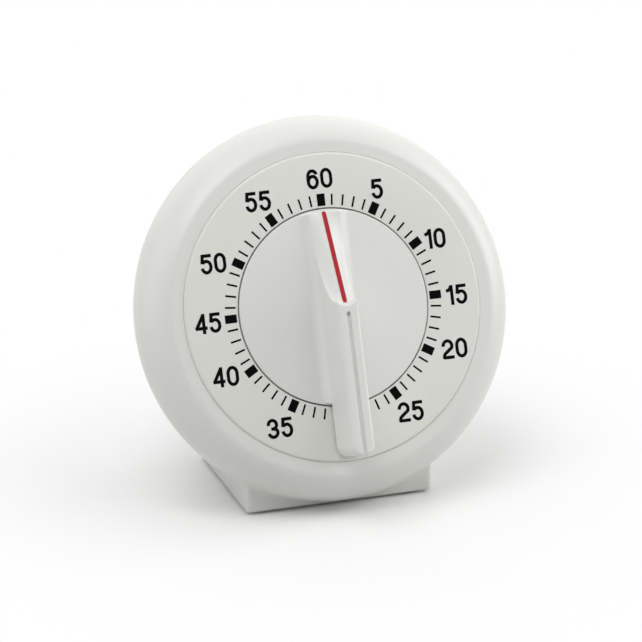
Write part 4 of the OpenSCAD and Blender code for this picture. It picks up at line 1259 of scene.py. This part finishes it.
    def pointer(self) -> None:
        """Makes the red strip in the nose."""
        slope = math.atan2(self.ridge_high - self.ridge_low, self.nose_end - self.nose_start)
        rows = []
        half, edge = self.pointer_half, self.pointer_edge_r
        section = softened([(-half, -self.pointer_root, 0), (half, -self.pointer_root, 0),
                            (half, self.pointer_proud, edge), (-half, self.pointer_proud, edge)], step=30)
        ends = (self.nose_start + self.pointer_gaps[0], self.nose_end - self.pointer_gaps[1])
        for v in np.linspace(*ends, self.pointer_rows):
            shrink = min(1.0, self.pointer_end + min(v - ends[0], ends[1] - v) / self.pointer_run)
            rows.append([(x * shrink, v + y * math.sin(slope), self.ridge(v) + y * math.cos(slope))
                         for x, y in section])
        mesh = MeshBuilder()
        mesh.grid(np.array(rows), wrap_columns=True)
        for end in (rows[0], rows[-1]):
            mesh.add(np.array(end), [tuple(range(len(section)))])
        POINTER_RED.dress(mesh.object("pointer_strip", self.dial.matrix), "knob_and_arbor", "pointer")


@dataclass
class RubberFeet:
    """Four round rubber feet, with a hollow face that grips like a sucker."""

    radius: float = 3.5
    height: float = 2.0
    edge_r: float = 0.3
    hollow_r: float = 1.6
    lip_r: float = 2.0
    hollow: float = 0.15
    soft: float = 0.1
    segments: int = 64

    def build(self) -> None:
        """Makes the feet where the frame has them."""
        low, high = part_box("rubber_feet")
        mesh = MeshBuilder()
        section = softened([(0, self.hollow, 0), (self.hollow_r, self.hollow, 0), (self.lip_r, 0, self.soft),
                            (self.radius, 0, self.edge_r), (self.radius, self.height, self.soft),
                            (0, self.height, 0)], closed=False)
        foot = MeshBuilder().lathe(section, self.segments, closed=False)
        for x in (low.x / MM + self.radius, high.x / MM - self.radius):
            for y in (low.y / MM + self.radius, high.y / MM - self.radius):
                mesh.add(np.array(foot.points) + (x, y, 0), foot.faces)
        FOOT_RUBBER.dress(mesh.object("rubber_foot_pads", Matrix.Scale(MM, 4)), "case", "rubber_feet")


class Movement:
    """The clockwork behind the dial, whose frame nodes stay and take the metal of their slot or their own."""

    METALS: tuple[Finish, ...] = (ROLLED_BRASS, TURNED_STEEL, SHEET_STEEL, SPRING_STEEL, ZINC_PLATE,
                                  NICKEL_PLATE)
    OWN: dict[str, Finish] = {
        "plate_pillars": TURNED_STEEL, "bell_post": TURNED_STEEL, "trip_pivot": TURNED_STEEL,
        "click_rivet": TURNED_STEEL, "hammer_head": TURNED_STEEL, "escape_wheel": SHEET_STEEL,
        "pillar_nuts": ZINC_PLATE}

    def build(self) -> None:
        """Gives each node that is shown its metal."""
        metals = {finish.slot.value: finish for finish in self.METALS}
        for name, node in frame["nodes"].items():
            if not node.hide_render:
                finish = self.OWN.get(name) or metals[node.data.materials[0].name]
                node.data.materials.clear()
                node.data.materials.append(finish.material())
                log.info("%s: %s", name, finish.name)


# The stage


@dataclass
class Studio:
    """Floor, daylight-like lamps and the camera of the photograph.

    Lengths are in metres, apart from the shadow's and the sensor's, which are in millimetres.
    """

    dial: DialFrame
    azimuth: float = -18.4
    elevation: float = 21.45
    distance: float = 1.3175
    focal_px: float = 5000.0
    aim_px: tuple[float, float] = (333.7, 306.8)
    shadow_near: float = 35.0
    shadow_far: float = 125.0
    floor_half: float = 4.0
    sky_strength: float = 0.17
    sensor_mm: float = 36.0
    view_m: float = 20.0
    lamps: tuple[tuple[str, Triple, float, float], ...] = (
        ("close_light", (0.0, -0.03, 0.42), 0.4, 0.14),
        ("right_light", (1.2, -0.2, 0.5), 1.0, 7.6),
        ("front_right_light", (0.8, -0.9, 0.9), 0.7, 3.2),
        ("top_left_light", (-0.45, -0.35, 1.15), 0.8, 5.4),
        ("left_light", (-1.2, 0.1, 0.45), 1.0, 3.5),
        ("back_light", (0.0, 0.7, 0.9), 1.8, 5.8))

    def by_ray(self, tree: Tree, lit: Socket, shown: Socket) -> Socket:
        """Mixes two shaders by the kind of ray.

        Args:
            tree: Tree that the nodes go in.
            lit: What all other rays meet.
            shown: What camera, reflections and glass see.

        Returns:
            The mix.
        """
        light = add_node(tree, "LightPath")
        first = add_node(tree, "Math", {0: light.outputs["Is Camera Ray"], 1: light.outputs["Is Glossy Ray"]},
                         operation="ADD")
        seen = add_node(tree, "Math", {0: first.outputs[0], 1: light.outputs["Is Transmission Ray"]},
                        operation="ADD", use_clamp=True)
        return add_node(tree, "MixShader", {0: seen.outputs[0], 1: lit, 2: shown}).outputs["Shader"]

    def floor(self) -> None:
        """Makes the pale floor, which camera and reflections see as nearly white.

        Close to the timer it shows the shadow; further out it turns into a plain white.
        """
        mesh = bpy.data.meshes.new("floor")
        side = self.floor_half
        corners = [(x * side, y * side, 0) for x, y in ((-1, -1), (1, -1), (1, 1), (-1, 1))]
        mesh.from_pydata(corners, [], [(0, 1, 2, 3)])
        floor = put("floor", mesh)
        material = bpy.data.materials.new("matt_paper_floor")
        tree = empty_tree(material)
        paper = add_node(tree, "BsdfDiffuse", {"Color": linear("#DADAD9")})
        shown = add_node(tree, "BsdfDiffuse", {"Color": linear("#FFFFFF")})
        glow = add_node(tree, "Emission", {"Color": linear("#FFFFFF"), "Strength": 1.0})
        place = add_node(tree, "TexCoord")
        reach = add_node(tree, "VectorMath", {0: place.outputs["Object"]}, operation="LENGTH")
        fade = add_node(tree, "MapRange", {"Value": reach.outputs["Value"], "From Min": self.shadow_near * MM,
                                           "From Max": self.shadow_far * MM}, interpolation_type="SMOOTHSTEP")
        bright = add_node(tree, "MixShader",
                          {0: fade.outputs["Result"], 1: shown.outputs["BSDF"], 2: glow.outputs["Emission"]})
        both = self.by_ray(tree, paper.outputs["BSDF"], bright.outputs["Shader"])
        add_node(tree, "OutputMaterial", {"Surface": both})
        mesh.materials.append(material)

    def sky(self) -> None:
        """Lights the scene evenly from all sides, in front of a white background."""
        world = bpy.data.worlds.new("studio")
        tree = empty_tree(world)
        soft = add_node(tree, "Background", {"Color": linear("#FFFFFF"), "Strength": self.sky_strength})
        white = add_node(tree, "Background", {"Color": linear("#FFFFFF"), "Strength": 1.0})
        both = self.by_ray(tree, soft.outputs["Background"], white.outputs["Background"])
        add_node(tree, "OutputWorld", {"Surface": both})
        bpy.context.scene.world = world

    def lamp(self, name: str, place: Triple, size: float, power: float) -> None:
        """Adds a square soft lamp that faces the timer.

        Args:
            name: Name of the lamp.
            place: Where it hangs.
            size: Its side.
            power: Its power in watts.
        """
        data = bpy.data.lights.new(name, "AREA")
        data.shape, data.size, data.energy = "SQUARE", size, power
        lamp = put(name, data)
        lamp.location = place
        lamp.rotation_euler = (self.dial.centre - Vector(place)).to_track_quat("-Z", "Y").to_euler()

    def camera(self) -> None:
        """Places the camera as the photograph's was."""
        turn, tilt = math.radians(-self.azimuth), math.radians(self.elevation)
        ahead = Vector((math.sin(turn) * math.cos(tilt), math.cos(turn) * math.cos(tilt), -math.sin(tilt)))
        right = Vector((math.cos(turn), -math.sin(turn), 0))
        up = right.cross(ahead)
        per_px = self.distance / self.focal_px
        off = [side - PHOTO_SIDE / 2 for side in self.aim_px]
        data = bpy.data.cameras.new("photo_camera")
        data.sensor_width = self.sensor_mm
        data.lens = self.focal_px / PHOTO_SIDE * self.sensor_mm
        data.clip_end = self.view_m
        camera = put("photo_camera", data)
        camera.location = (self.dial.centre - ahead * self.distance - right * off[0] * per_px
                           + up * off[1] * per_px)
        camera.rotation_euler = Matrix((right, up, -ahead)).transposed().to_euler()
        bpy.context.scene.camera = camera

    def build(self) -> None:
        """Sets up floor, light and camera."""
        self.floor()
        self.sky()
        for name, place, size, power in self.lamps:
            self.lamp(name, place, size, power)
        self.camera()
        bpy.context.scene.view_settings.view_transform = "Standard"


def main() -> None:
    """Builds the timer and its stage."""
    logging.basicConfig(level=logging.INFO, format="%(message)s")
    dial = DialFrame.from_joint("knob_turn")
    studio = Studio(dial)
    studio.build()
    form = CaseForm(dial)
    for part in (FrontCase(form), RearCase(form), FootBlock(form), DialPlate(dial), Knob(dial), RubberFeet(),
                 Movement()):
        part.build()


if __name__ == "__main__":
    main()
